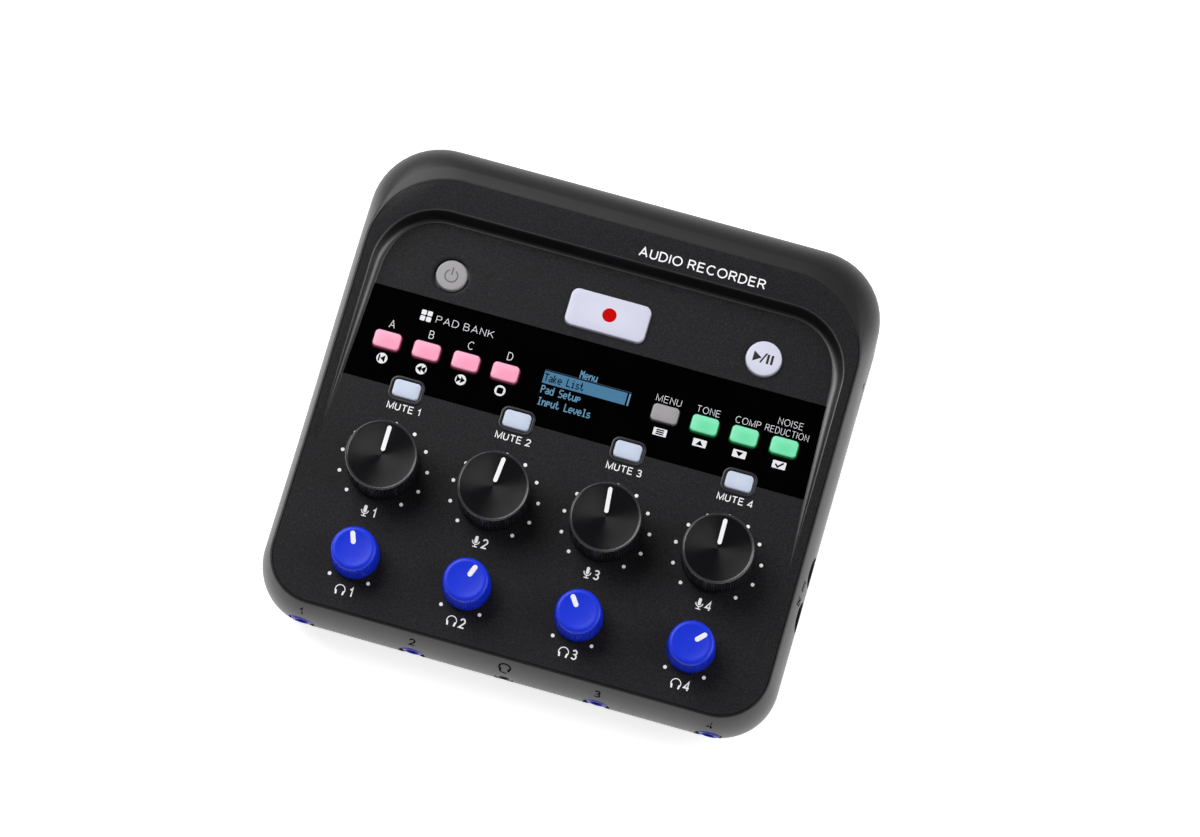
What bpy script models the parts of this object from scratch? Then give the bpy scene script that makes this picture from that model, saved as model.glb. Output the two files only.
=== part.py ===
# Podcast recorder: a small desktop unit with four microphone channels.
# Run with: blender --background --python part.py
# Metres, +Z up, -Y is the front where the user sits. The origin lies on the
# table, under the middle of the case.

import math

import bmesh
import bpy
from mathutils import Matrix, Vector

# Clearances and walls
GAP = 0.0003
RUNNING_GAP = 0.0003
WALL = 0.0022
DECK = 0.0025
OVERRUN = 0.0010

# Case, plan at the crease that borders the textured deck
CREASE_HALF_WIDTH = 0.0780
CREASE_FRONT = -0.0737
CREASE_BACK = 0.0643
CREASE_RADIUS = 0.0250
CREASE_FRONT_RADIUS = 0.0153
CORNER_STEPS = 7

# Deck plane: it leans towards the user about a line through the large knobs. Places on the deck
# are measured from that line, and the rows of controls are shares of the deck's depth.
DECK_SLOPE = math.radians(5.0)
DECK_Y_SHARE = 0.339855
DECK_Y = CREASE_FRONT + DECK_Y_SHARE * (CREASE_BACK - CREASE_FRONT)
DECK_Z = 0.0300
DECK_FRONT = (CREASE_FRONT - DECK_Y) / math.cos(DECK_SLOPE)
DECK_BACK = (CREASE_BACK - DECK_Y) / math.cos(DECK_SLOPE)
DECK_DEPTH = DECK_BACK - DECK_FRONT
HP_ROW_SHARE = -0.21115
PORT_FRONT_SHARE = -0.06497
PORT_BACK_SHARE = 0.03970
MUTE_ROW_SHARE = 0.17614
STRIP_FRONT_SHARE = 0.17758
PAD_ROW_SHARE = 0.27359
MENU_ROW_SHARE = 0.27865
DISPLAY_SHARE = 0.28514
STRIP_BACK_SHARE = 0.39270
POWER_SHARE = 0.45478
PLAY_SHARE = 0.45912
RECORD_SHARE = 0.46056
CARD_SHARE = 0.48150
BOARD_BOSS_FRONT_SHARE = -0.10828
BOARD_BOSS_MIDDLE_SHARE = 0.07219

# Rim round the back and the sides, a second plane that starts at the large knobs
RIM_SLOPE = math.radians(3.8)
RIM_START_OFFSET = 0.0020
RIM_START = DECK_Y + RIM_START_OFFSET
RIM_WIDTH = 0.0038
RIM_BACK_WIDTH = 0.0109
RIM_INNER_HALF_WIDTH = CREASE_HALF_WIDTH - RIM_WIDTH
RIM_INNER_BACK = CREASE_BACK - RIM_BACK_WIDTH
RIM_INNER_RADIUS = 0.0200
RIM_SIDE_DRAFT_SHARE = 0.58
RIM_BACK_DRAFT_SHARE = 0.19

# Walls below the crease
SHOULDER_DROP = 0.0117
SIDE_BULGE = 0.0029
FRONT_CORNER_RADIUS = 0.0180
BACK_CORNER_RADIUS = 0.0215
BACK_ROUND = 0.0122
BACK_ONSET_SHARE = 0.1
SHOULDER_STEPS = 5
LOWER_RADIUS = 0.0100
LOWER_ANGLE = math.radians(60.0)
LOWER_STEPS = 3
SEAM = 0.0052

# Base cover
FOOT_HEIGHT = 0.0020
FLOOR = 0.0024
LIP_HEIGHT = 0.0013
LIP_WALL = 0.0015
FOOT_RADIUS = 0.0060
FOOT_SEAT = 0.0005
FOOT_SIDE_INSET = 0.0300
FOOT_FRONT_INSET = 0.0177
FOOT_BACK_INSET = 0.0173
FOOT_X = CREASE_HALF_WIDTH - FOOT_SIDE_INSET
FOOT_FRONT = CREASE_FRONT + FOOT_FRONT_INSET
FOOT_BACK = CREASE_BACK - FOOT_BACK_INSET

# Knob rows
CHANNELS = 4
CHANNEL_SIDE_INSET = 0.0255
CHANNEL_PITCH = 2 * (CREASE_HALF_WIDTH - CHANNEL_SIDE_INSET) / (CHANNELS - 1)
MIC_KNOB_RADIUS = 0.0111
MIC_KNOB_CROWN_RADIUS = 0.0109
MIC_KNOB_TOP = 0.0139
MIC_KNOB_FOOT = 0.0006
MIC_KNOB_EDGE = 0.0006
MIC_POINTER_START = 0.0012
MIC_POINTER_END = 0.0094
HP_ROW = HP_ROW_SHARE * DECK_DEPTH
HP_KNOB_RADIUS = 0.0075
HP_KNOB_CROWN_RADIUS = 0.0069
HP_KNOB_TOP = 0.0108
HP_KNOB_FOOT = 0.0006
HP_KNOB_EDGE = 0.0012
HP_POINTER_START = 0.0012
HP_POINTER_END = 0.0054
POINTER_WIDTH = 0.0013
POINTER_DEPTH = 0.0003
MIC_REST_ANGLES = (0.0, 5.0, -6.0, -1.0)
HP_REST_ANGLES = (-20.0, 21.0, -36.0, 45.0)

# Potentiometers and their shafts
SHAFT_RADIUS = 0.0030
SHAFT_FLAT = 0.0015
SHAFT_COVER = 0.0025
POT_WIDTH = 0.0096
POT_DEPTH = 0.0110
SHAFT_HOLE_RADIUS = 0.0036

# Main board, hung under the deck and parallel with it
BOARD_DROP = 0.0075
BOARD_THICKNESS = 0.0016
BOARD_SIDE_INSET = 0.0080
BOARD_SHOULDER_INSET = 0.0040
BOARD_CORNER_INSET = 0.0130
BOARD_FRONT_INSET = 0.0011
BOARD_BACK_INSET = 0.0174
BOARD_SHOULDER_DEPTH = 0.0160
BOARD_CORNER_DEPTH = 0.0060
BOARD_MARGIN = 0.0008
BOARD_HALF_WIDTH = CREASE_HALF_WIDTH - BOARD_SIDE_INSET
BOARD_SHOULDER_X = BOARD_HALF_WIDTH - BOARD_SHOULDER_INSET
BOARD_CORNER_X = BOARD_HALF_WIDTH - BOARD_CORNER_INSET
BOARD_FRONT = DECK_FRONT + BOARD_FRONT_INSET
BOARD_BACK = DECK_BACK - BOARD_BACK_INSET
BOARD_SHOULDER_Y = BOARD_FRONT + BOARD_SHOULDER_DEPTH
BOARD_CORNER_Y = BOARD_FRONT + BOARD_CORNER_DEPTH
BOARD_BOSS_RADIUS = 0.0027
BOARD_BOSS_OUTER_X = BOARD_HALF_WIDTH - BOARD_SHOULDER_INSET
BOARD_BOSS_FRONT = BOARD_BOSS_FRONT_SHARE * DECK_DEPTH
BOARD_BOSS_MIDDLE = BOARD_BOSS_MIDDLE_SHARE * DECK_DEPTH
BOARD_BOSS_BACK_INSET = 0.0120
BOARD_BOSS_BACK = BOARD_BACK - BOARD_BOSS_BACK_INSET
BOARD_BOSSES = (
    (-CHANNEL_PITCH, BOARD_BOSS_FRONT),
    (CHANNEL_PITCH, BOARD_BOSS_FRONT),
    (-BOARD_BOSS_OUTER_X, BOARD_BOSS_MIDDLE),
    (BOARD_BOSS_OUTER_X, BOARD_BOSS_MIDDLE),
    (-CHANNEL_PITCH, BOARD_BOSS_BACK),
    (CHANNEL_PITCH, BOARD_BOSS_BACK),
)

# Keys and buttons: they stand proud of the deck and press straight down into it
KEY_WIDTH = 0.0086
KEY_DEPTH = 0.0057
KEY_RADIUS = 0.0014
KEY_TOP = 0.0012
KEY_EDGE = 0.0004
KEY_FLANGE = 0.0008
KEY_FLANGE_THICKNESS = 0.0010
KEY_TRAVEL = 0.0005
KEY_PITCH = 0.0125
PAD_ROW = PAD_ROW_SHARE * DECK_DEPTH
PAD_SIDE_INSET = 0.0153
PAD_OUTER_X = CREASE_HALF_WIDTH - PAD_SIDE_INSET
MENU_ROW = MENU_ROW_SHARE * DECK_DEPTH
MUTE_ROW = MUTE_ROW_SHARE * DECK_DEPTH
MUTE_SURROUND = 0.0011
POWER_SIDE_INSET = 0.0284
POWER_X = POWER_SIDE_INSET - CREASE_HALF_WIDTH
POWER_Y = POWER_SHARE * DECK_DEPTH
POWER_RADIUS = 0.0049
POWER_DISH_RADIUS = 0.0063
POWER_DISH_DEPTH = 0.0004
RECORD_Y = RECORD_SHARE * DECK_DEPTH
RECORD_WIDTH = 0.0255
RECORD_DEPTH = 0.0122
RECORD_RADIUS = 0.0025
PLAY_SIDE_INSET = 0.0286
PLAY_X = CREASE_HALF_WIDTH - PLAY_SIDE_INSET
PLAY_Y = PLAY_SHARE * DECK_DEPTH
PLAY_RADIUS = 0.00565

# Tact switches
SWITCH_SIDE = 0.0060
PLUNGER_RADIUS = 0.0017
PLUNGER_HEIGHT = 0.0006

# Display strip and display
STRIP_FRONT = STRIP_FRONT_SHARE * DECK_DEPTH
STRIP_BACK = STRIP_BACK_SHARE * DECK_DEPTH
STRIP_THICKNESS = 0.0012
DISPLAY_LEFT_MARGIN = 0.0034
DISPLAY_RIGHT_MARGIN = 0.0064
DISPLAY_ROOM = 2 * (PAD_OUTER_X - (CHANNELS - 1) * KEY_PITCH) - KEY_WIDTH
DISPLAY_WIDTH = DISPLAY_ROOM - DISPLAY_LEFT_MARGIN - DISPLAY_RIGHT_MARGIN
DISPLAY_X = (DISPLAY_LEFT_MARGIN - DISPLAY_RIGHT_MARGIN) / 2
DISPLAY_Y = DISPLAY_SHARE * DECK_DEPTH
DISPLAY_DEPTH = 0.0210
DISPLAY_THICKNESS = 0.0026

# Front jacks, under the front edge of the main board
JACK_SIDE_INSET = 0.0140
JACK_OUTER_X = CREASE_HALF_WIDTH - JACK_SIDE_INSET
JACK_INNER_X = JACK_OUTER_X - CHANNEL_PITCH
JACK_WIDTH = 0.0074
JACK_HEIGHT = 0.0060
JACK_REACH = 0.0037
JACK_NOSE_LENGTH = 0.0094
JACK_BODY_LENGTH = 0.0092
JACK_FACE = DECK_FRONT - JACK_REACH
JACK_BODY_FRONT = JACK_FACE + JACK_NOSE_LENGTH
JACK_BODY_BACK = JACK_BODY_FRONT + JACK_BODY_LENGTH
JACK_BORE_RADIUS = 0.0018
JACK_NOSE_RADIUS = 0.0027
JACK_COLLAR_RADIUS = 0.0038
JACK_COLLAR_LENGTH = 0.0040
JACK_COLLAR_EDGE = 0.0006
JACK_COLLAR_MARGIN = 0.00045

# Ports in the right wall, under the edge of the main board
PORT_BACK_Y = PORT_BACK_SHARE * DECK_DEPTH
PORT_FRONT_Y = PORT_FRONT_SHARE * DECK_DEPTH
PORT_WIDTH = 0.0089
PORT_HEIGHT = 0.0032
PORT_SHELL = 0.0003
PORT_LENGTH = 0.0075
PORT_REACH = 0.0016
PORT_FACE_X = CREASE_HALF_WIDTH + PORT_REACH
PORT_TONGUE = 0.0007
PORT_BAY_WIDTH = 0.0098
PORT_BAY_HIGH = 0.0052
PORT_BAY_LOW = 0.0142
PORT_BAY_RADIUS = 0.0024

# Card socket and its cover
CARD_Y = CARD_SHARE * DECK_DEPTH
CARD_COVER_LENGTH = 0.0178
CARD_COVER_HEIGHT = 0.0084
CARD_COVER_RISE = 0.00035
CARD_COVER_REACH = 0.0013
CARD_COVER_INNER_X = CREASE_HALF_WIDTH + CARD_COVER_REACH
CARD_COVER_RADIUS = 0.0015
CARD_PAD = 0.0020
CARD_PAD_DEPTH = 0.0024
CARD_SLOT_LENGTH = 0.0120
CARD_SLOT_HEIGHT = 0.0014
CARD_SOCKET_LENGTH = 0.0140
CARD_SOCKET_DEPTH = 0.0145
CARD_SOCKET_HEIGHT = 0.0019
NOTCH_OFFSET = 0.0018
NOTCH_RADIUS = 0.0014
NOTCH_DEPTH = 0.0009

# Socket bay in the back wall and the four microphone sockets
BAY_DEPTH = 0.0019
BAY_MARGIN = 0.0005
BAY_SIDE_INSET = 0.0115
BAY_FACE = CREASE_BACK + BACK_ROUND - BAY_DEPTH
BAY_HALF_WIDTH = CREASE_HALF_WIDTH - BAY_SIDE_INSET
BAY_RADIUS = 0.0040
SOCKET_HEIGHT = 0.0212
SOCKET_FLANGE_RADIUS = 0.0119
BAY_LOW = SOCKET_HEIGHT - SOCKET_FLANGE_RADIUS - BAY_MARGIN
BAY_HIGH = SOCKET_HEIGHT + SOCKET_FLANGE_RADIUS + BAY_MARGIN
SOCKET_FLANGE = 0.0012
SOCKET_RADIUS = 0.0103
SOCKET_MOUTH_RADIUS = 0.0095
SOCKET_CORE_RADIUS = 0.0078
SOCKET_CORE_SET_BACK = 0.0008
SOCKET_MOUTH_DEPTH = 0.0120
SOCKET_LENGTH = 0.0170
SOCKET_PIN_RADIUS = 0.0014
SOCKET_PIN_CIRCLE = 0.0046
SOCKET_PINS = 3
SOCKET_BOARD_INSET = 0.0055
SOCKET_BOARD_RISE = 0.0118
SOCKET_BOARD_HALF_WIDTH = BAY_HALF_WIDTH - SOCKET_BOARD_INSET
SOCKET_BOARD_LOW = SEAM + LIP_HEIGHT + GAP
SOCKET_BOARD_HIGH = SOCKET_HEIGHT + SOCKET_BOARD_RISE

# Battery bay in the base cover: two cells that lie across it, one behind the other
CELLS = 2
CELL_RADIUS = 0.0070
CELL_LENGTH = 0.0490
CELL_CAP_RADIUS = 0.0027
CELL_CAP_LENGTH = 0.0010
CELL_SPACE = 0.0004
BATTERY_BACK_INSET = 0.0253
BATTERY_Y = CREASE_BACK - BATTERY_BACK_INSET
BATTERY_BAY_WALL = 0.0015
CONTACT_SPACE = 0.0022
DOOR_PLATE = 0.0012
DOOR_RAIL = 0.0010
DOOR_MARGIN = 0.0060
DOOR_ROOF = 0.0015
DOOR_GRIPS = 5

# Screws
CASE_BOSS_RADIUS = 0.0035
CASE_BOSS_FRONT_SIDE_INSET = 0.0160
CASE_BOSS_FRONT_INSET = 0.0217
CASE_BOSS_BACK_SIDE_INSET = 0.0125
CASE_BOSS_BACK_INSET = 0.0108
CASE_BOSS_FRONT_X = CREASE_HALF_WIDTH - CASE_BOSS_FRONT_SIDE_INSET
CASE_BOSS_FRONT_Y = CREASE_FRONT + CASE_BOSS_FRONT_INSET
CASE_BOSS_BACK_X = CREASE_HALF_WIDTH - CASE_BOSS_BACK_SIDE_INSET
CASE_BOSS_BACK_Y = CREASE_BACK - CASE_BOSS_BACK_INSET
CASE_BOSSES = (
    (-CASE_BOSS_FRONT_X, CASE_BOSS_FRONT_Y),
    (CASE_BOSS_FRONT_X, CASE_BOSS_FRONT_Y),
    (-CASE_BOSS_BACK_X, CASE_BOSS_BACK_Y),
    (CASE_BOSS_BACK_X, CASE_BOSS_BACK_Y),
)
CASE_SCREW_RADIUS = 0.0015
CASE_SCREW_HEAD_RADIUS = 0.0027
CASE_SCREW_HEAD = 0.0010
CASE_SCREW_LENGTH = 0.0090
BOARD_SCREW_RADIUS = 0.0010
BOARD_SCREW_LENGTH = 0.0055

# Sides of the round pieces
BUTTON_SEGMENTS = 24
MIC_KNOB_SEGMENTS = 32
HP_KNOB_SEGMENTS = 28
HP_EDGE_STEPS = 3
SHAFT_STEPS = 9
SHAFT_HOLE_SEGMENTS = 14
SOCKET_SEGMENTS = 22
JACK_SEGMENTS = 18
SMALL_SEGMENTS = 10

# Colours of the pieces, with roughness and metallic value
FINISHES = {
    "deck plastic": ((0.022, 0.021, 0.024), 0.55, 0.0),
    "base plastic": ((0.018, 0.018, 0.020), 0.60, 0.0),
    "gloss strip": ((0.003, 0.003, 0.004), 0.08, 0.0),
    "display glass": ((0.020, 0.050, 0.080), 0.20, 0.0),
    "black knob": ((0.014, 0.014, 0.016), 0.35, 0.0),
    "blue rubber": ((0.010, 0.030, 0.750), 0.45, 0.0),
    "pink key": ((0.930, 0.330, 0.480), 0.35, 0.0),
    "green key": ((0.100, 0.760, 0.380), 0.35, 0.0),
    "mute key": ((0.600, 0.660, 0.820), 0.35, 0.0),
    "white key": ((0.680, 0.680, 0.800), 0.35, 0.0),
    "grey key": ((0.360, 0.350, 0.350), 0.40, 0.0),
    "steel": ((0.560, 0.570, 0.580), 0.30, 1.0),
    "black plastic": ((0.012, 0.012, 0.013), 0.45, 0.0),
    "board": ((0.010, 0.120, 0.050), 0.50, 0.0),
    "rubber": ((0.015, 0.015, 0.016), 0.85, 0.0),
    "cell": ((0.080, 0.080, 0.085), 0.35, 0.5),
}

DECK_FRAME = Matrix.Translation((0, DECK_Y, DECK_Z)) @ Matrix.Rotation(DECK_SLOPE, 4, "X")
WORLD_FRAME = Matrix.Identity(4)
BACK_FRAME = Matrix.Rotation(math.radians(-90), 4, "X")


# Scene and materials


def clear_scene():
    for item in list(bpy.data.objects):
        bpy.data.objects.remove(item, do_unlink=True)


def finish(name):
    made = bpy.data.materials.get(name)
    if made is None:
        colour, roughness, metallic = FINISHES[name]
        made = bpy.data.materials.new(name)
        made.use_nodes = True
        shader = made.node_tree.nodes["Principled BSDF"]
        shader.inputs["Base Color"].default_value = (*colour, 1)
        shader.inputs["Roughness"].default_value = roughness
        shader.inputs["Metallic"].default_value = metallic
    return made


def add_object(name, form, finish_name, place=WORLD_FRAME):
    bmesh.ops.recalc_face_normals(form, faces=form.faces)
    mesh = bpy.data.meshes.new(name)
    form.to_mesh(mesh)
    form.free()
    mesh.shade_smooth()
    mesh.set_sharp_from_angle(angle=math.radians(35))
    item = bpy.data.objects.new(name, mesh)
    item.matrix_world = place
    item.data.materials.append(finish(finish_name))
    bpy.context.scene.collection.objects.link(item)
    return item


def add_cutter(name, form, place=WORLD_FRAME):
    item = add_object(name, form, "black plastic", place)
    item.hide_render = True
    item.display_type = "WIRE"
    return item


def combine(target, other, operation):
    step = target.modifiers.new(operation.lower(), "BOOLEAN")
    step.operation = operation
    step.solver = "EXACT"
    step.object = other


def cut(target, cutter):
    combine(target, cutter, "DIFFERENCE")


# Outlines, counter-clockwise


def circle(radius, segments, centre=(0.0, 0.0)):
    turns = [math.tau * k / segments for k in range(segments)]
    return [(centre[0] + radius * math.cos(t), centre[1] + radius * math.sin(t)) for t in turns]


def rounded_box(width, depth, radius, steps=4, centre=(0.0, 0.0)):
    points = []
    for quarter in range(4):
        sign_x = 1 if quarter in (0, 3) else -1
        sign_y = 1 if quarter in (0, 1) else -1
        for k in range(steps + 1):
            turn = math.pi / 2 * (quarter + k / steps)
            x = centre[0] + sign_x * (width / 2 - radius) + radius * math.cos(turn)
            y = centre[1] + sign_y * (depth / 2 - radius) + radius * math.sin(turn)
            points.append((x, y))
    return points


def box_outline(left, right, front, back):
    return [(left, front), (right, front), (right, back), (left, back)]


# Solids, each added to a bmesh


def add_loft(form, rings, closed=False):
    rows = [[form.verts.new(point) for point in ring] for ring in rings]
    count = len(rows[0])
    pairs = list(zip(rows, rows[1:]))
    if closed:
        pairs.append((rows[-1], rows[0]))
    else:
        form.faces.new(list(reversed(rows[0])))
        form.faces.new(rows[-1])
    for lower, upper in pairs:
        for k in range(count):
            n = (k + 1) % count
            form.faces.new((lower[k], lower[n], upper[n], upper[k]))


def add_prism(form, outline, low, high, place=WORLD_FRAME):
    add_loft(form, [[place @ Vector((x, y, z)) for x, y in outline] for z in (low, high)])


def add_turned(form, profile, segments, place=WORLD_FRAME, closed=False):
    rings = []
    for radius, height in profile:
        rings.append([place @ Vector((x, y, height)) for x, y in circle(radius, segments)])
    add_loft(form, rings, closed)


def prism(outline, low, high, place=WORLD_FRAME):
    form = bmesh.new()
    add_prism(form, outline, low, high, place)
    return form


# Case surfaces


def deck_height(y):
    return DECK_Z + (y - DECK_Y) * math.tan(DECK_SLOPE)


def rim_rise(y):
    return max(0.0, y - RIM_START) * (math.tan(DECK_SLOPE + RIM_SLOPE) - math.tan(DECK_SLOPE))


def crease_height(y):
    return deck_height(y) + rim_rise(y)


def backness(normal):
    # 0 on the sides and the front, 1 on the back, smooth round the back corners.
    lean = max(0.0, (normal.y - BACK_ONSET_SHARE) / (1 - BACK_ONSET_SHARE))
    return lean * lean * (3 - 2 * lean)


def case_plan():
    # Points of the crease with their outward normals, from the right front corner round the back.
    # One point on each side marks where the rim starts.
    plan = []
    for quarter in range(4):
        sign_x = 1 if quarter in (0, 1) else -1
        at_front = quarter in (0, 3)
        radius = CREASE_FRONT_RADIUS if at_front else CREASE_RADIUS
        centre_x = sign_x * (CREASE_HALF_WIDTH - radius)
        centre_y = CREASE_FRONT + radius if at_front else CREASE_BACK - radius
        if quarter == 1:
            plan.append((Vector((CREASE_HALF_WIDTH, RIM_START, 0)), Vector((1, 0, 0))))
        if quarter == 3:
            plan.append((Vector((-CREASE_HALF_WIDTH, RIM_START, 0)), Vector((-1, 0, 0))))
        for k in range(CORNER_STEPS + 1):
            turn = math.pi / 2 * (quarter - 1 + k / CORNER_STEPS)
            normal = Vector((math.cos(turn), math.sin(turn), 0))
            plan.append((Vector((centre_x, centre_y, 0)) + normal * radius, normal))
    return plan


def widest_reach(normal, inset=0.0):
    # How far the widest outline, drawn in by an inset, stands outside the crease. Its corners
    # are tighter than the crease's, so it stands out further there.
    at_back = normal.y > 0
    crease = CREASE_RADIUS if at_back else CREASE_FRONT_RADIUS
    side = crease + SIDE_BULGE - inset
    end = crease + (BACK_ROUND if at_back else SIDE_BULGE) - inset
    radius = (BACK_CORNER_RADIUS if at_back else FRONT_CORNER_RADIUS) - inset
    across = abs(normal.x)
    along = abs(normal.y)
    if side * along <= (end - radius) * across:
        return side / across - crease
    if end * across <= (side - radius) * along:
        return end / along - crease
    middle = across * (side - radius) + along * (end - radius)
    offset = (side - radius) ** 2 + (end - radius) ** 2
    return middle + math.sqrt(middle**2 - offset + radius**2) - crease


def wall_reach(normal, drop):
    # How far the wall stands outside the crease at a drop below it.
    radius = (SHOULDER_DROP**2 + SIDE_BULGE**2) / (2 * SIDE_BULGE)
    side = 1 - (radius - math.sqrt(radius**2 - (SHOULDER_DROP - drop) ** 2)) / SIDE_BULGE
    back = math.sqrt(1 - (1 - drop / SHOULDER_DROP) ** 2)
    share = backness(normal)
    return widest_reach(normal) * (side * (1 - share) + back * share)


def wall_rings():
    rings = []
    for k in range(1, SHOULDER_STEPS + 1):
        drop = SHOULDER_DROP * (1 - math.cos(math.pi / 2 * k / SHOULDER_STEPS))
        ring = []
        for point, normal in case_plan():
            place = point + normal * wall_reach(normal, drop)
            place.z = crease_height(point.y) - drop
            ring.append(place)
        rings.append(ring)
    for k in range(LOWER_STEPS + 1):
        turn = LOWER_ANGLE * k / LOWER_STEPS
        height = SEAM + lower_radius() * (math.sin(LOWER_ANGLE) - math.sin(turn))
        inset = lower_radius() * (1 - math.cos(turn))
        rings.append(wall_ring(inset, height))
    return rings


def wall_ring(inset, height):
    ring = []
    for point, normal in case_plan():
        place = point + normal * widest_reach(normal, inset)
        place.z = height
        ring.append(place)
    return ring


def rim_inner_points():
    # Top and foot of the wall inside the rim, from the right end round the back to the left end.
    pairs = []
    for quarter in (0, 1):
        sign_x = 1 if quarter == 0 else -1
        centre_x = sign_x * (RIM_INNER_HALF_WIDTH - RIM_INNER_RADIUS)
        for k in range(CORNER_STEPS + 1):
            turn = math.pi / 2 * (quarter + k / CORNER_STEPS)
            normal = Vector((math.cos(turn), math.sin(turn), 0))
            top = Vector((centre_x, RIM_INNER_BACK - RIM_INNER_RADIUS, 0)) + normal * RIM_INNER_RADIUS
            share = backness(normal)
            draft = RIM_SIDE_DRAFT_SHARE * (1 - share) + RIM_BACK_DRAFT_SHARE * share
            foot = top - normal * draft * rim_rise(top.y)
            top.z = crease_height(top.y)
            foot.z = deck_height(foot.y)
            pairs.append((top, foot))
    return pairs


def case_solid():
    # The outer shape of the case down to the seam, as one closed body.
    form = bmesh.new()
    plan = case_plan()
    crease = []
    for point, _ in plan:
        crease.append(form.verts.new((point.x, point.y, crease_height(point.y))))
    right_end = CORNER_STEPS + 1
    left_end = right_end + 2 * (CORNER_STEPS + 1) + 1
    height = deck_height(RIM_START)
    right_inner = form.verts.new((RIM_INNER_HALF_WIDTH, RIM_START, height))
    left_inner = form.verts.new((-RIM_INNER_HALF_WIDTH, RIM_START, height))
    pairs = rim_inner_points()
    tops = [form.verts.new(top) for top, _ in pairs]
    feet = [form.verts.new(foot) for _, foot in pairs]
    form.faces.new(crease[right_end:left_end + 1] + [left_inner] + tops[::-1] + [right_inner])
    front = crease[left_end:] + crease[:right_end + 1]
    form.faces.new(front + [right_inner] + feet + [left_inner])
    form.faces.new((right_inner, tops[0], feet[0]))
    form.faces.new((left_inner, feet[-1], tops[-1]))
    for k in range(len(pairs) - 1):
        form.faces.new((feet[k], tops[k], tops[k + 1], feet[k + 1]))
    upper = crease
    for ring in wall_rings():
        lower = [form.verts.new(place) for place in ring]
        for k in range(len(plan)):
            n = (k + 1) % len(plan)
            form.faces.new((upper[k], upper[n], lower[n], lower[k]))
        upper = lower
    form.faces.new(upper)
    return form


def cavity_solid():
    deck_under = []
    shoulder = []
    for point, normal in case_plan():
        share = backness(normal)
        place = point + normal * (share * (BACK_ROUND - 2 * WALL) - (1 - share) * WALL)
        place.y = min(place.y, BAY_FACE - WALL)
        place.z = deck_height(place.y) - DECK
        deck_under.append(place)
        place = point + normal * widest_reach(normal, WALL)
        place.y = min(place.y, BAY_FACE - WALL)
        place.z = crease_height(point.y) - SHOULDER_DROP
        shoulder.append(place)
    rings = [deck_under, shoulder]
    lower_height = SEAM + lower_radius() * math.sin(LOWER_ANGLE)
    for inset, height in ((0.0, lower_height), (seam_inset(), SEAM), (seam_inset(), SEAM - OVERRUN)):
        ring = wall_ring(inset + WALL, height)
        for place in ring:
            place.y = min(place.y, BAY_FACE - WALL)
        rings.append(ring)
    form = bmesh.new()
    add_loft(form, rings)
    return form


def lower_radius():
    # The round above the seam ends below the shoulder of the front wall.
    room = crease_height(CREASE_FRONT) - SHOULDER_DROP - SEAM - GAP
    return min(LOWER_RADIUS, room / math.sin(LOWER_ANGLE))


def seam_inset():
    return lower_radius() * (1 - math.cos(LOWER_ANGLE))


# Places on the deck


def channel_x(channel):
    return CHANNEL_PITCH * (channel - (CHANNELS - 1) / 2)


def key_places():
    # Name, place on the deck and finish of every small key.
    places = []
    for k, letter in enumerate("abcd"):
        places.append((f"pad_key_{letter}", (-PAD_OUTER_X + KEY_PITCH * k, PAD_ROW), "pink key"))
    for k, name in enumerate(("menu_key", "tone_key", "comp_key", "noise_key")):
        x = PAD_OUTER_X - KEY_PITCH * (CHANNELS - 1 - k)
        places.append((name, (x, MENU_ROW), "grey key" if k == 0 else "green key"))
    for k in range(CHANNELS):
        places.append((f"mute_key_{k + 1}", (channel_x(k), MUTE_ROW), "mute key"))
    return places


def key_outline(grow, centre=(0.0, 0.0)):
    return rounded_box(KEY_WIDTH + 2 * grow, KEY_DEPTH + 2 * grow, KEY_RADIUS + grow, 2, centre)


def record_outline(grow):
    return rounded_box(RECORD_WIDTH + 2 * grow, RECORD_DEPTH + 2 * grow, RECORD_RADIUS + grow, 3)


def power_outline(grow):
    return circle(POWER_RADIUS + grow, BUTTON_SEGMENTS)


def play_outline(grow):
    return circle(PLAY_RADIUS + grow, BUTTON_SEGMENTS)


def strip_outline(grow):
    front_rise = rim_rise(DECK_Y + STRIP_FRONT)
    back_rise = rim_rise(DECK_Y + STRIP_BACK)
    front = RIM_INNER_HALF_WIDTH - RIM_SIDE_DRAFT_SHARE * front_rise - 2 * GAP + grow
    back = RIM_INNER_HALF_WIDTH - RIM_SIDE_DRAFT_SHARE * back_rise - 2 * GAP + grow
    low = STRIP_FRONT - grow
    high = STRIP_BACK + grow
    return [(-front, low), (front, low), (back, high), (-back, high)]


def jack_drop():
    return BOARD_DROP + BOARD_THICKNESS + GAP + JACK_HEIGHT / 2


def port_drop():
    return BOARD_DROP + BOARD_THICKNESS + GAP + PORT_HEIGHT / 2


def jack_xs():
    return (-JACK_OUTER_X, -JACK_INNER_X, JACK_INNER_X, JACK_OUTER_X)


def jack_frame(x):
    # Z of this frame points out of the front wall, along the deck.
    turn = Matrix.Rotation(math.radians(90), 4, "X")
    return DECK_FRAME @ Matrix.Translation((x, 0, -jack_drop())) @ turn


def wall_frame(y, drop):
    # Z of this frame points out of the right wall, X runs towards the back along the deck.
    axes = Matrix(((0, 0, 1), (1, 0, 0), (0, 1, 0))).to_4x4()
    return DECK_FRAME @ Matrix.Translation((0, y, -drop)) @ axes


def socket_frame(channel):
    # Z of this frame points out of the back wall.
    return Matrix.Translation((channel_x(channel), 0, SOCKET_HEIGHT)) @ BACK_FRAME


# Casings


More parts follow.
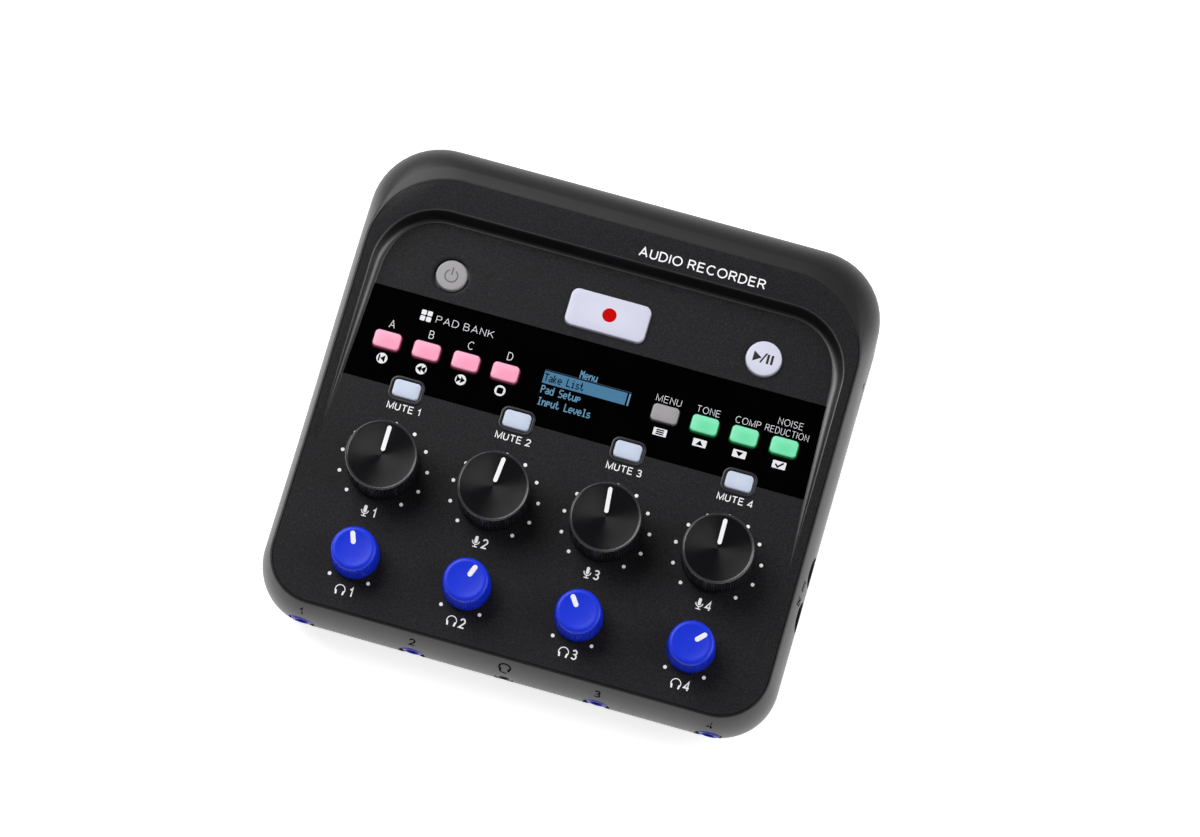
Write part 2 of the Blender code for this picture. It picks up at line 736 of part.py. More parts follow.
def make_top_cover():
    cover = add_object("top_cover", case_solid(), "deck plastic")
    cut(cover, add_cutter("cutter_cavity", cavity_solid()))
    combine(cover, add_cutter("case_bosses", case_boss_forms()), "UNION")
    combine(cover, add_cutter("board_bosses", board_boss_forms()), "UNION")
    combine(cover, add_cutter("card_pad", card_pad_form()), "UNION")
    cut(cover, add_cutter("cutter_boss_holes", boss_hole_forms()))
    cut(cover, strip_pocket())
    cut(cover, add_cutter("cutter_deck_holes", deck_hole_forms()))
    cut(cover, add_cutter("cutter_power_dish", power_dish_form()))
    cut(cover, add_cutter("cutter_socket_bay", socket_bay_form()))
    cut(cover, add_cutter("cutter_sockets", socket_hole_forms()))
    cut(cover, add_cutter("cutter_jacks", jack_hole_forms()))
    cut(cover, add_cutter("cutter_port_bays", port_bay_forms()))
    cut(cover, add_cutter("cutter_ports", port_hole_forms()))
    cut(cover, add_cutter("cutter_card_cover", card_cover_block(GAP)))
    cut(cover, add_cutter("cutter_card_slot", card_slot_forms()))
    return cover


def case_boss_forms():
    form = bmesh.new()
    for place in CASE_BOSSES:
        low = FOOT_HEIGHT + FLOOR + GAP
        high = deck_height(place[1]) - DECK + OVERRUN / 2
        add_prism(form, circle(CASE_BOSS_RADIUS, SHAFT_HOLE_SEGMENTS, place), low, high)
    return form


def board_boss_forms():
    form = bmesh.new()
    for place in BOARD_BOSSES:
        outline = circle(BOARD_BOSS_RADIUS, SMALL_SEGMENTS, place)
        add_prism(form, outline, GAP - BOARD_DROP, OVERRUN - DECK, DECK_FRAME)
    return form


def boss_hole_forms():
    form = bmesh.new()
    for place in CASE_BOSSES:
        low = FOOT_HEIGHT + FLOOR - OVERRUN
        high = FOOT_HEIGHT + GAP + CASE_SCREW_HEAD + CASE_SCREW_LENGTH + GAP
        add_prism(form, circle(CASE_SCREW_RADIUS + GAP, SMALL_SEGMENTS, place), low, high)
    for place in BOARD_BOSSES:
        high = BOARD_SCREW_LENGTH - BOARD_DROP - BOARD_THICKNESS + GAP
        outline = circle(BOARD_SCREW_RADIUS + GAP, SMALL_SEGMENTS, place)
        add_prism(form, outline, -BOARD_DROP - OVERRUN, high - 2 * GAP, DECK_FRAME)
    return form


def strip_pocket():
    # The pocket keeps a raised surround round each mute key.
    pocket = add_cutter("cutter_strip", prism(strip_outline(GAP), -STRIP_THICKNESS - GAP, OVERRUN, DECK_FRAME))
    form = bmesh.new()
    for k in range(CHANNELS):
        outline = key_outline(MUTE_SURROUND - GAP, (channel_x(k), MUTE_ROW))
        add_prism(form, outline, -DECK, 2 * OVERRUN, DECK_FRAME)
    cut(pocket, add_cutter("mute_surrounds", form))
    return pocket


def deck_hole_forms():
    form = bmesh.new()
    low = -DECK - OVERRUN
    high = 2 * OVERRUN
    for k in range(CHANNELS):
        for y in (0.0, HP_ROW):
            add_prism(form, circle(SHAFT_HOLE_RADIUS, SHAFT_HOLE_SEGMENTS, (channel_x(k), y)), low, high, DECK_FRAME)
    for _, place, _ in key_places():
        add_prism(form, key_outline(RUNNING_GAP, place), low, high, DECK_FRAME)
    for _, (x, y), outline_at, _ in button_places():
        outline = [(x + a, y + b) for a, b in outline_at(RUNNING_GAP)]
        add_prism(form, outline, low, high, DECK_FRAME)
    window = rounded_box(DISPLAY_WIDTH + 2 * GAP, DISPLAY_DEPTH + 2 * GAP, GAP, 1, (DISPLAY_X, DISPLAY_Y))
    add_prism(form, window, low, high, DECK_FRAME)
    return form


def power_dish_form():
    form = bmesh.new()
    place = DECK_FRAME @ Matrix.Translation((POWER_X, POWER_Y, 0))
    slope = (POWER_DISH_RADIUS - POWER_RADIUS) / POWER_DISH_DEPTH
    profile = ((POWER_RADIUS, -POWER_DISH_DEPTH), (POWER_RADIUS + (POWER_DISH_DEPTH + OVERRUN) * slope, OVERRUN))
    add_turned(form, profile, BUTTON_SEGMENTS, place)
    return form


def socket_bay_form():
    outline = rounded_box(2 * BAY_HALF_WIDTH, BAY_HIGH - BAY_LOW, BAY_RADIUS, 5)
    place = Matrix.Translation((0, 0, (BAY_HIGH + BAY_LOW) / 2)) @ BACK_FRAME
    return prism(outline, BAY_FACE, CREASE_BACK + BACK_ROUND + OVERRUN, place)


def socket_hole_forms():
    form = bmesh.new()
    for k in range(CHANNELS):
        outline = circle(SOCKET_RADIUS + GAP, SOCKET_SEGMENTS)
        add_prism(form, outline, BAY_FACE - 2 * WALL, BAY_FACE + OVERRUN, socket_frame(k))
    return form


def jack_hole_forms():
    form = bmesh.new()
    for x in jack_xs():
        outline = circle(JACK_COLLAR_RADIUS + JACK_COLLAR_MARGIN, JACK_SEGMENTS)
        add_prism(form, outline, -JACK_BODY_FRONT - OVERRUN, -JACK_FACE + 4 * OVERRUN, jack_frame(x))
    outline = circle(JACK_NOSE_RADIUS + GAP, JACK_SEGMENTS)
    add_prism(form, outline, -JACK_BODY_FRONT - OVERRUN, -JACK_FACE + 4 * OVERRUN, jack_frame(0))
    return form


def port_hole_forms():
    form = bmesh.new()
    for y in (PORT_BACK_Y, PORT_FRONT_Y):
        outline = rounded_box(PORT_WIDTH + 2 * GAP, PORT_HEIGHT + 2 * GAP, PORT_HEIGHT / 2 + GAP, 4)
        low = PORT_FACE_X - WALL - 2 * OVERRUN
        add_prism(form, outline, low, PORT_FACE_X + 2 * OVERRUN, wall_frame(y, port_drop()))
    return form


def port_bay_forms():
    # A shallow bay round each port, with room for a plug's grip.
    form = bmesh.new()
    outline = rounded_box(PORT_BAY_WIDTH, PORT_BAY_LOW - PORT_BAY_HIGH, PORT_BAY_RADIUS, 4)
    outside = CREASE_HALF_WIDTH + SIDE_BULGE + OVERRUN
    for y in (PORT_BACK_Y, PORT_FRONT_Y):
        add_prism(form, outline, PORT_FACE_X, outside, wall_frame(y, (PORT_BAY_HIGH + PORT_BAY_LOW) / 2))
    return form


def card_cover_frame():
    return wall_frame(CARD_Y, card_socket_drop() - CARD_COVER_RISE)


def card_cover_block(grow):
    # The block that the cover and its seat are cut with, in the right wall.
    height = CARD_COVER_HEIGHT + 2 * grow
    outline = rounded_box(CARD_COVER_LENGTH + 2 * grow, height, CARD_COVER_RADIUS + grow, 3)
    frame = card_cover_frame()
    outside = CREASE_HALF_WIDTH + SIDE_BULGE + OVERRUN + grow
    return prism(outline, CARD_COVER_INNER_X - grow, outside, frame)


def card_pad_form():
    height = CARD_COVER_HEIGHT + 2 * CARD_PAD
    outline = rounded_box(CARD_COVER_LENGTH + 2 * CARD_PAD, height, CARD_PAD, 2)
    outer = CREASE_HALF_WIDTH + SIDE_BULGE - WALL / 2
    return prism(outline, CARD_COVER_INNER_X - CARD_PAD_DEPTH, outer, card_cover_frame())


def card_socket_face():
    return CARD_COVER_INNER_X - CARD_PAD_DEPTH - GAP


def card_socket_drop():
    return BOARD_DROP + BOARD_THICKNESS + GAP + CARD_SOCKET_HEIGHT / 2


def card_slot_forms():
    form = bmesh.new()
    inner = CARD_COVER_INNER_X - CARD_PAD_DEPTH - OVERRUN
    slot = rounded_box(CARD_SLOT_LENGTH, CARD_SLOT_HEIGHT, GAP, 1)
    add_prism(form, slot, inner, CARD_COVER_INNER_X, wall_frame(CARD_Y, card_socket_drop()))
    notch = circle(NOTCH_RADIUS, SMALL_SEGMENTS, (-NOTCH_OFFSET, CARD_COVER_HEIGHT / 2 + GAP))
    low = CREASE_HALF_WIDTH + SIDE_BULGE - NOTCH_DEPTH
    add_prism(form, notch, low, low + 2 * OVERRUN, card_cover_frame())
    return form


def make_base_cover():
    slope = math.tan(LOWER_ANGLE)
    base_top = SEAM - GAP
    outer_inset = seam_inset() + GAP * slope
    bottom_inset = outer_inset + (base_top - FOOT_HEIGHT) * slope
    lip_inset = seam_inset() + WALL + GAP
    lip_top = SEAM + LIP_HEIGHT
    rings = [
        wall_ring(bottom_inset, FOOT_HEIGHT),
        wall_ring(outer_inset, base_top),
        wall_ring(lip_inset, base_top),
        wall_ring(lip_inset, lip_top),
        wall_ring(lip_inset + LIP_WALL, lip_top),
        wall_ring(lip_inset + LIP_WALL, FOOT_HEIGHT + FLOOR),
    ]
    for ring in rings[2:]:
        for place in ring:
            place.y = min(place.y, BAY_FACE - WALL - GAP)
    form = bmesh.new()
    add_loft(form, rings)
    base = add_object("base_cover", form, "base plastic")
    combine(base, add_cutter("battery_block", battery_block_form()), "UNION")
    combine(base, add_cutter("door_floor", door_floor_form()), "UNION")
    cut(base, add_cutter("cutter_battery_bay", battery_bay_form()))
    cut(base, add_cutter("cutter_door_rails", door_rail_form(GAP)))
    cut(base, add_cutter("cutter_door_plate", door_plate_form(GAP)))
    cut(base, add_cutter("cutter_base_screws", base_screw_forms()))
    cut(base, add_cutter("cutter_foot_seats", foot_seat_forms()))
    return base


# Battery bay and door


def bay_half_depth():
    return CELLS * CELL_RADIUS + CELL_SPACE * (CELLS + 1) / 2


def bay_half_width():
    return (CELL_LENGTH + CELL_CAP_LENGTH) / 2 + CONTACT_SPACE


def door_top():
    return FOOT_HEIGHT + DOOR_PLATE + DOOR_RAIL


def door_roof_top():
    return door_top() + GAP + DOOR_ROOF


def cell_height():
    return door_top() + GAP + CELL_RADIUS


def bay_top():
    return cell_height() + CELL_RADIUS + GAP


def door_half_width():
    return bay_half_width() + BATTERY_BAY_WALL


def door_front():
    return BATTERY_Y - bay_half_depth() - DOOR_MARGIN


def base_back(height):
    # Where the outside of the base cover is, at the middle of its back edge.
    inset = seam_inset() + (SEAM - height) * math.tan(LOWER_ANGLE)
    return CREASE_BACK + BACK_ROUND - inset


def bay_outline(grow):
    wide = bay_half_width() + grow
    deep = bay_half_depth() + grow
    return box_outline(-wide, wide, BATTERY_Y - deep, BATTERY_Y + deep)


def battery_block_form():
    return prism(bay_outline(BATTERY_BAY_WALL), FOOT_HEIGHT + FLOOR - OVERRUN, bay_top() + BATTERY_BAY_WALL)


def door_floor_form():
    wide = door_half_width() + DOOR_RAIL + GAP + DOOR_ROOF
    lip_inset = seam_inset() + WALL + GAP + LIP_WALL
    back = min(CREASE_BACK + BACK_ROUND - lip_inset, BAY_FACE - WALL - GAP) + LIP_WALL / 2
    outline = box_outline(-wide, wide, door_front() - DOOR_ROOF, back)
    return prism(outline, FOOT_HEIGHT + FLOOR - OVERRUN, door_roof_top())


def battery_bay_form():
    return prism(bay_outline(0.0), FOOT_HEIGHT - OVERRUN, bay_top())


def door_form(half_width, low, high, grow):
    # The back edge carries on the slope of the base cover; a cutter runs on past it.
    front = door_front() - grow
    past = 4 * OVERRUN if grow else 0.0
    rings = []
    for height in (low, high):
        outline = box_outline(-half_width, half_width, front, base_back(height) + past)
        rings.append([Vector((x, y, height)) for x, y in outline])
    form = bmesh.new()
    add_loft(form, rings)
    return form


def door_plate_form(grow):
    low = FOOT_HEIGHT - (OVERRUN if grow else 0.0)
    return door_form(door_half_width() + grow, low, FOOT_HEIGHT + DOOR_PLATE + grow, grow)


def door_rail_form(grow):
    low = FOOT_HEIGHT + DOOR_PLATE - grow
    return door_form(door_half_width() + DOOR_RAIL + grow, low, door_top() + grow, grow)


def make_battery_door():
    door = add_object("battery_door", door_plate_form(0.0), "base plastic")
    combine(door, add_cutter("door_rails", door_rail_form(0.0)), "UNION")
    grip = bmesh.new()
    for k in range(DOOR_GRIPS):
        y = door_front() + DOOR_MARGIN / 2 + 2 * DOOR_RAIL * k
        outline = box_outline(-DOOR_MARGIN, DOOR_MARGIN, y, y + DOOR_RAIL)
        add_prism(grip, outline, FOOT_HEIGHT - OVERRUN, FOOT_HEIGHT + DOOR_PLATE / 4)
    cut(door, add_cutter("cutter_door_grip", grip))
    return door


def make_cells():
    # Every second cell lies the other way round.
    for k in range(CELLS):
        y = BATTERY_Y + (2 * CELL_RADIUS + CELL_SPACE) * (k - (CELLS - 1) / 2)
        turn = math.radians(90) if k % 2 else math.radians(-90)
        frame = Matrix.Translation((0, y, cell_height())) @ Matrix.Rotation(turn, 4, "Y")
        start = -(CELL_LENGTH + CELL_CAP_LENGTH) / 2
        profile = (
            (CELL_RADIUS, start),
            (CELL_RADIUS, start + CELL_LENGTH),
            (CELL_CAP_RADIUS, start + CELL_LENGTH),
            (CELL_CAP_RADIUS, start + CELL_LENGTH + CELL_CAP_LENGTH),
        )
        form = bmesh.new()
        add_turned(form, profile, JACK_SEGMENTS, frame)
        add_object(f"battery_cell_{k + 1}", form, "cell")


# Boards


def make_main_board():
    half = BOARD_HALF_WIDTH
    tab = card_socket_face()
    right = (PORT_FRONT_Y - PORT_WIDTH, PORT_BACK_Y + PORT_WIDTH)
    card_low = CARD_Y - CARD_SOCKET_LENGTH / 2 - BOARD_MARGIN
    outline = [
        (-BOARD_CORNER_X, BOARD_FRONT),
        (BOARD_CORNER_X, BOARD_FRONT),
        (BOARD_SHOULDER_X, BOARD_CORNER_Y),
        (half, BOARD_SHOULDER_Y),
        (half, right[0]),
        (tab, right[0]),
        (tab, right[1]),
        (half, right[1]),
        (half, card_low),
        (tab, card_low),
        (tab, BOARD_BACK),
        (-half, BOARD_BACK),
        (-half, BOARD_SHOULDER_Y),
        (-BOARD_SHOULDER_X, BOARD_CORNER_Y),
    ]
    low = -BOARD_DROP - BOARD_THICKNESS
    board = add_object("main_board", prism(outline, low, -BOARD_DROP, DECK_FRAME), "board")
    combine(board, add_cutter("pots", pot_forms()), "UNION")
    combine(board, add_cutter("switches", switch_forms()), "UNION")
    combine(board, add_cutter("plungers", plunger_forms()), "UNION")
    combine(board, card_socket(), "UNION")
    holes = bmesh.new()
    for place in BOARD_BOSSES:
        outline = circle(BOARD_SCREW_RADIUS + GAP, SMALL_SEGMENTS, place)
        add_prism(holes, outline, low - OVERRUN, OVERRUN - BOARD_DROP, DECK_FRAME)
    for place in CASE_BOSSES:
        centre_height = deck_height(place[1]) - BOARD_DROP
        outline = circle(CASE_BOSS_RADIUS + 3 * GAP, SHAFT_HOLE_SEGMENTS, place)
        add_prism(holes, outline, centre_height - 4 * OVERRUN, centre_height + 4 * OVERRUN)
    cut(board, add_cutter("cutter_board_holes", holes))
    return board


def socket_board_face():
    return BAY_FACE - SOCKET_LENGTH - GAP


def make_socket_board():
    outline = rounded_box(2 * SOCKET_BOARD_HALF_WIDTH, SOCKET_BOARD_HIGH - SOCKET_BOARD_LOW, OVERRUN, 2)
    place = Matrix.Translation((0, 0, (SOCKET_BOARD_HIGH + SOCKET_BOARD_LOW) / 2)) @ BACK_FRAME
    form = prism(outline, socket_board_face() - BOARD_THICKNESS, socket_board_face(), place)
    return add_object("socket_board", form, "board")


# Display


def make_display_strip():
    strip = add_object("display_strip", prism(strip_outline(0.0), -STRIP_THICKNESS, 0.0, DECK_FRAME), "gloss strip")
    form = bmesh.new()
    for name, place, _ in key_places():
        grow = MUTE_SURROUND if name.startswith("mute") else RUNNING_GAP
        add_prism(form, key_outline(grow, place), -2 * STRIP_THICKNESS, OVERRUN, DECK_FRAME)
    cut(strip, add_cutter("cutter_strip_holes", form))
    return strip


def make_display():
    outline = rounded_box(DISPLAY_WIDTH, DISPLAY_DEPTH, GAP, 1, (DISPLAY_X, DISPLAY_Y))
    top = -STRIP_THICKNESS - GAP
    return add_object("display_module", prism(outline, top - DISPLAY_THICKNESS, top, DECK_FRAME), "display glass")


# Keys, buttons and switches


def make_key(name, place, outline_at, finish_name):
    # The cap rises through the deck; its flange stays under it and keeps it in.
    flange_top = -DECK - GAP
    levels = (
        (KEY_FLANGE, flange_top - KEY_FLANGE_THICKNESS),
        (KEY_FLANGE, flange_top),
        (0.0, flange_top),
        (0.0, KEY_TOP - KEY_EDGE),
        (-KEY_EDGE, KEY_TOP),
    )
    form = bmesh.new()
    add_loft(form, [[Vector((x, y, height)) for x, y in outline_at(grow)] for grow, height in levels])
    return add_object(name, form, finish_name, DECK_FRAME @ Matrix.Translation((*place, 0)))


def button_places():
    # Name, place, outline and finish of the three larger buttons.
    return (
        ("power_button", (POWER_X, POWER_Y), power_outline, "grey key"),
        ("record_button", (0.0, RECORD_Y), record_outline, "white key"),
        ("play_button", (PLAY_X, PLAY_Y), play_outline, "white key"),
    )


def make_keys():
    for name, place, finish_name in key_places():
        make_key(name, place, key_outline, finish_name)
    for name, place, outline_at, finish_name in button_places():
        make_key(name, place, outline_at, finish_name)


def switch_places():
    places = [place for _, place, _ in key_places()]
    return places + [entry[1] for entry in button_places()]


def plunger_top():
    return -DECK - GAP - KEY_FLANGE_THICKNESS - KEY_TRAVEL - GAP / 2


def switch_forms():
    form = bmesh.new()
    half = SWITCH_SIDE / 2
    for x, y in switch_places():
        outline = box_outline(x - half, x + half, y - half, y + half)
        add_prism(form, outline, -BOARD_DROP - BOARD_THICKNESS / 2, plunger_top() - PLUNGER_HEIGHT, DECK_FRAME)
    return form


def plunger_forms():
    form = bmesh.new()
    for place in switch_places():
        outline = circle(PLUNGER_RADIUS, SMALL_SEGMENTS, place)
        add_prism(form, outline, plunger_top() - 2 * PLUNGER_HEIGHT, plunger_top(), DECK_FRAME)
    return form


# Knobs, shafts and potentiometers


def shaft_outline(radius, flat):
    # A round shaft with one flat, towards +Y.
    start = math.asin(flat / radius)
    points = []
    for k in range(SHAFT_STEPS + 1):
        turn = math.pi - start + (math.pi + 2 * start) * k / SHAFT_STEPS
        points.append((radius * math.cos(turn), radius * math.sin(turn)))
    return points


def make_knob(name, place, profile, segments, pointer, angle, finish_name):
    turn = Matrix.Rotation(-math.radians(angle), 4, "Z")
    frame = DECK_FRAME @ Matrix.Translation((*place, 0)) @ turn
    form = bmesh.new()
    add_turned(form, profile, segments)
    knob = add_object(name, form, finish_name, frame)
    top = profile[-1][1]
    cuts = bmesh.new()
    outline = box_outline(-POINTER_WIDTH / 2, POINTER_WIDTH / 2, pointer[0], pointer[1])
    add_prism(cuts, outline, top - POINTER_DEPTH, top + OVERRUN)
    bore = shaft_outline(SHAFT_RADIUS + GAP, SHAFT_FLAT + GAP)
    add_prism(cuts, bore, profile[0][1] - OVERRUN, top - SHAFT_COVER)
    cut(knob, add_cutter(f"cutter_{name}", cuts, frame))
    return knob


def mic_knob_profile():
    crown = MIC_KNOB_CROWN_RADIUS
    top = MIC_KNOB_TOP
    return ((MIC_KNOB_RADIUS, MIC_KNOB_FOOT), (crown, top - MIC_KNOB_EDGE), (crown - MIC_KNOB_EDGE, top))


def hp_knob_profile():
    profile = [(HP_KNOB_RADIUS, HP_KNOB_FOOT)]
    for k in range(HP_EDGE_STEPS + 1):
        turn = math.pi / 2 * k / HP_EDGE_STEPS
        radius = HP_KNOB_CROWN_RADIUS - HP_KNOB_EDGE * (1 - math.cos(turn))
        profile.append((radius, HP_KNOB_TOP - HP_KNOB_EDGE * (1 - math.sin(turn))))
    return profile


def make_shaft(name, place, top, angle):
    turn = Matrix.Rotation(-math.radians(angle), 4, "Z")
    frame = DECK_FRAME @ Matrix.Translation((*place, 0)) @ turn
    low = -DECK - 3 * GAP
    form = prism(shaft_outline(SHAFT_RADIUS, SHAFT_FLAT), low, top - SHAFT_COVER - GAP)
    return add_object(name, form, "steel", frame)


def pot_forms():
    form = bmesh.new()
    for k in range(CHANNELS):
        for y in (0.0, HP_ROW):
            left = channel_x(k) - POT_WIDTH / 2
            outline = box_outline(left, left + POT_WIDTH, y - POT_DEPTH / 2, y + POT_DEPTH / 2)
            add_prism(form, outline, -BOARD_DROP - BOARD_THICKNESS / 2, -DECK - 4 * GAP, DECK_FRAME)
    return form


def make_controls():
    for k in range(CHANNELS):
        mic = (channel_x(k), 0.0)
        phones = (channel_x(k), HP_ROW)
        mic_turn = MIC_REST_ANGLES[k]
        phones_turn = HP_REST_ANGLES[k]
        number = k + 1
        pointer = (MIC_POINTER_START, MIC_POINTER_END)
        make_knob(f"mic_knob_{number}", mic, mic_knob_profile(), MIC_KNOB_SEGMENTS, pointer, mic_turn, "black knob")
        make_shaft(f"mic_shaft_{number}", mic, MIC_KNOB_TOP, mic_turn)
        pointer = (HP_POINTER_START, HP_POINTER_END)
        make_knob(f"headphone_knob_{number}", phones, hp_knob_profile(), HP_KNOB_SEGMENTS, pointer, phones_turn,
                  "blue rubber")
        make_shaft(f"headphone_shaft_{number}", phones, HP_KNOB_TOP, phones_turn)


# Jacks, ports, card and sockets


def make_jack(name, x, nose_profile):
    frame = jack_frame(x)
    body = rounded_box(JACK_WIDTH, JACK_HEIGHT, OVERRUN / 2, 1)
    jack = add_object(name, prism(body, -JACK_BODY_BACK, -JACK_BODY_FRONT, frame), "black plastic")
    nose = bmesh.new()
    add_turned(nose, nose_profile, JACK_SEGMENTS, frame)
    bore = prism(circle(JACK_BORE_RADIUS, JACK_SEGMENTS), -JACK_BODY_BACK + OVERRUN, -JACK_FACE + OVERRUN, frame)
    combine(jack, add_cutter(f"nose_{name}", nose), "UNION")
    cut(jack, add_cutter(f"cutter_{name}", bore))


def make_jacks():
    start = -JACK_BODY_FRONT - OVERRUN
    face = -JACK_FACE
    radius = JACK_COLLAR_RADIUS
    collar = ((JACK_NOSE_RADIUS, start), (JACK_NOSE_RADIUS, face - JACK_COLLAR_LENGTH),
              (radius, face - JACK_COLLAR_LENGTH), (radius, face - JACK_COLLAR_EDGE),
              (radius - JACK_COLLAR_EDGE, face))
    for k, x in enumerate(jack_xs()):
        make_jack(f"headphone_jack_{k + 1}", x, collar)
    make_jack("headset_jack", 0.0, ((JACK_NOSE_RADIUS, start), (JACK_NOSE_RADIUS, face)))


def make_ports():
    for name, y in (("usb_port_1", PORT_BACK_Y), ("usb_port_2", PORT_FRONT_Y)):
        frame = wall_frame(y, port_drop())
        outline = rounded_box(PORT_WIDTH, PORT_HEIGHT, PORT_HEIGHT / 2, 4)
        port = add_object(name, prism(outline, PORT_FACE_X - PORT_LENGTH, PORT_FACE_X, frame), "steel")
        width = PORT_WIDTH - 2 * PORT_SHELL
        height = PORT_HEIGHT - 2 * PORT_SHELL
        mouth = prism(rounded_box(width, height, height / 2, 4), PORT_FACE_X - PORT_LENGTH + OVERRUN,
                      PORT_FACE_X + OVERRUN, frame)
        mouth_cutter = add_cutter(f"cutter_{name}", mouth)
        half = width / 2 - PORT_HEIGHT / 2
        tongue = prism(box_outline(-half, half, -PORT_TONGUE / 2, PORT_TONGUE / 2),
                       PORT_FACE_X - PORT_LENGTH, PORT_FACE_X - OVERRUN, frame)
        cut(mouth_cutter, add_cutter(f"tongue_{name}", tongue))
        cut(port, mouth_cutter)


def make_card_cover():
    cover = add_object("card_cover", case_solid(), "base plastic")
    combine(cover, add_cutter("card_cover_block", card_cover_block(0.0)), "INTERSECT")


def card_socket():
    # Soldered under the main board, its mouth at the slot in the wall.
    outer = card_socket_face()
    frame = wall_frame(CARD_Y, card_socket_drop())
    outline = box_outline(-CARD_SOCKET_LENGTH / 2, CARD_SOCKET_LENGTH / 2,
                          -CARD_SOCKET_HEIGHT / 2, CARD_SOCKET_HEIGHT / 2 + BOARD_THICKNESS / 2)
    socket = add_cutter("card_socket", prism(outline, outer - CARD_SOCKET_DEPTH, outer, frame))
    slot = rounded_box(CARD_SLOT_LENGTH, CARD_SLOT_HEIGHT - GAP, GAP, 1)
    mouth = prism(slot, outer - CARD_SOCKET_DEPTH + 2 * OVERRUN, outer + OVERRUN, frame)
    cut(socket, add_cutter("cutter_card_socket", mouth))
    return socket


def make_mic_sockets():
    for k in range(CHANNELS):
        frame = socket_frame(k)
        flange = BAY_FACE + GAP
        face = flange + SOCKET_FLANGE
        floor = face - SOCKET_MOUTH_DEPTH
        core = face - SOCKET_CORE_SET_BACK
        profile = (
            (SOCKET_RADIUS, BAY_FACE - SOCKET_LENGTH),
            (SOCKET_RADIUS, flange),
            (SOCKET_FLANGE_RADIUS, flange),
            (SOCKET_FLANGE_RADIUS, face),
            (SOCKET_MOUTH_RADIUS, face),
            (SOCKET_MOUTH_RADIUS, floor),
            (SOCKET_CORE_RADIUS, floor),
            (SOCKET_CORE_RADIUS, core),
        )
        form = bmesh.new()
        add_turned(form, profile, SOCKET_SEGMENTS, frame)
        socket = add_object(f"mic_socket_{k + 1}", form, "black plastic")
        pins = bmesh.new()
        for n in range(SOCKET_PINS):
            turn = math.tau * (n / SOCKET_PINS + 1 / 4)
            centre = (SOCKET_PIN_CIRCLE * math.cos(turn), SOCKET_PIN_CIRCLE * math.sin(turn))
            add_prism(pins, circle(SOCKET_PIN_RADIUS, SMALL_SEGMENTS - 2, centre), floor, core + OVERRUN, frame)
        cut(socket, add_cutter(f"cutter_mic_socket_{k + 1}", pins))


# Feet and screws


def foot_places():
    return [(x, y) for x in (-FOOT_X, FOOT_X) for y in (FOOT_FRONT, FOOT_BACK)]


def foot_seat_forms():
    form = bmesh.new()
    for place in foot_places():
        outline = circle(FOOT_RADIUS + GAP, JACK_SEGMENTS, place)
        add_prism(form, outline, FOOT_HEIGHT - OVERRUN, FOOT_HEIGHT + FOOT_SEAT)
    return form


def base_screw_forms():
    form = bmesh.new()
    for x, y in CASE_BOSSES:
        head = CASE_SCREW_HEAD_RADIUS + GAP
        shank = CASE_SCREW_RADIUS + GAP
        step = FOOT_HEIGHT + CASE_SCREW_HEAD + 2 * GAP
        profile = (
            (head, FOOT_HEIGHT - OVERRUN),
            (head, step),
            (shank, step),
            (shank, FOOT_HEIGHT + FLOOR + OVERRUN),
        )
        add_turned(form, profile, SHAFT_HOLE_SEGMENTS, Matrix.Translation((x, y, 0)))
    return form


def make_feet():
    for k, place in enumerate(foot_places()):
        form = prism(circle(FOOT_RADIUS, JACK_SEGMENTS, place), 0.0, FOOT_HEIGHT + FOOT_SEAT - GAP)
        add_object(f"foot_{k + 1}", form, "rubber")


def make_case_screws():
    low = FOOT_HEIGHT + GAP
    step = low + CASE_SCREW_HEAD
    profile = (
        (CASE_SCREW_HEAD_RADIUS, low),
        (CASE_SCREW_HEAD_RADIUS, step),
        (CASE_SCREW_RADIUS, step),
        (CASE_SCREW_RADIUS, step + CASE_SCREW_LENGTH),
    )
    for k, (x, y) in enumerate(CASE_BOSSES):
        form = bmesh.new()
        add_turned(form, profile, SHAFT_HOLE_SEGMENTS, Matrix.Translation((x, y, 0)))
        add_object(f"case_screw_{k + 1}", form, "steel")


def main():
    clear_scene()
    make_top_cover()
    make_base_cover()
    make_battery_door()
    make_cells()
    make_main_board()
    make_socket_board()
    make_display_strip()
    make_display()
    make_keys()
    make_controls()
    make_jacks()
    make_ports()
    make_card_cover()
    make_mic_sockets()
    make_feet()
    make_case_screws()


main()
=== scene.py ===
import math

import bmesh
import bpy
from mathutils import Matrix, Vector
from mathutils.bvhtree import BVHTree
from mathutils.interpolate import poly_3d_calc


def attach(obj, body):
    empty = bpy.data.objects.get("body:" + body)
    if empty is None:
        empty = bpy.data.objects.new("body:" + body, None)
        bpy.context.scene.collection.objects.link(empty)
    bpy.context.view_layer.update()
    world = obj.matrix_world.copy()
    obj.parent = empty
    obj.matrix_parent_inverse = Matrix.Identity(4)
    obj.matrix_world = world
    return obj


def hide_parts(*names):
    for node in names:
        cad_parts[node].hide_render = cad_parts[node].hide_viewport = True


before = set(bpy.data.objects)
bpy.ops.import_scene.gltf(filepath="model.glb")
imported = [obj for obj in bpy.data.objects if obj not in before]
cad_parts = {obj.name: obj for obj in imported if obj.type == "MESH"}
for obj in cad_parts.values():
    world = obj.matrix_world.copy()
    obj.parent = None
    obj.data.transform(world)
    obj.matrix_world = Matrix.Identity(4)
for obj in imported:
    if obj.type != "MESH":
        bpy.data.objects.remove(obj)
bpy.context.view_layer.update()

print("frame loaded:", len(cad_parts), "nodes")

mm = 0.001


def inMetres(sizes):
    return {name: value * mm for name, value in sizes.items()}


def scaled(pairs):
    return [(x * mm, y * mm) for x, y in pairs]


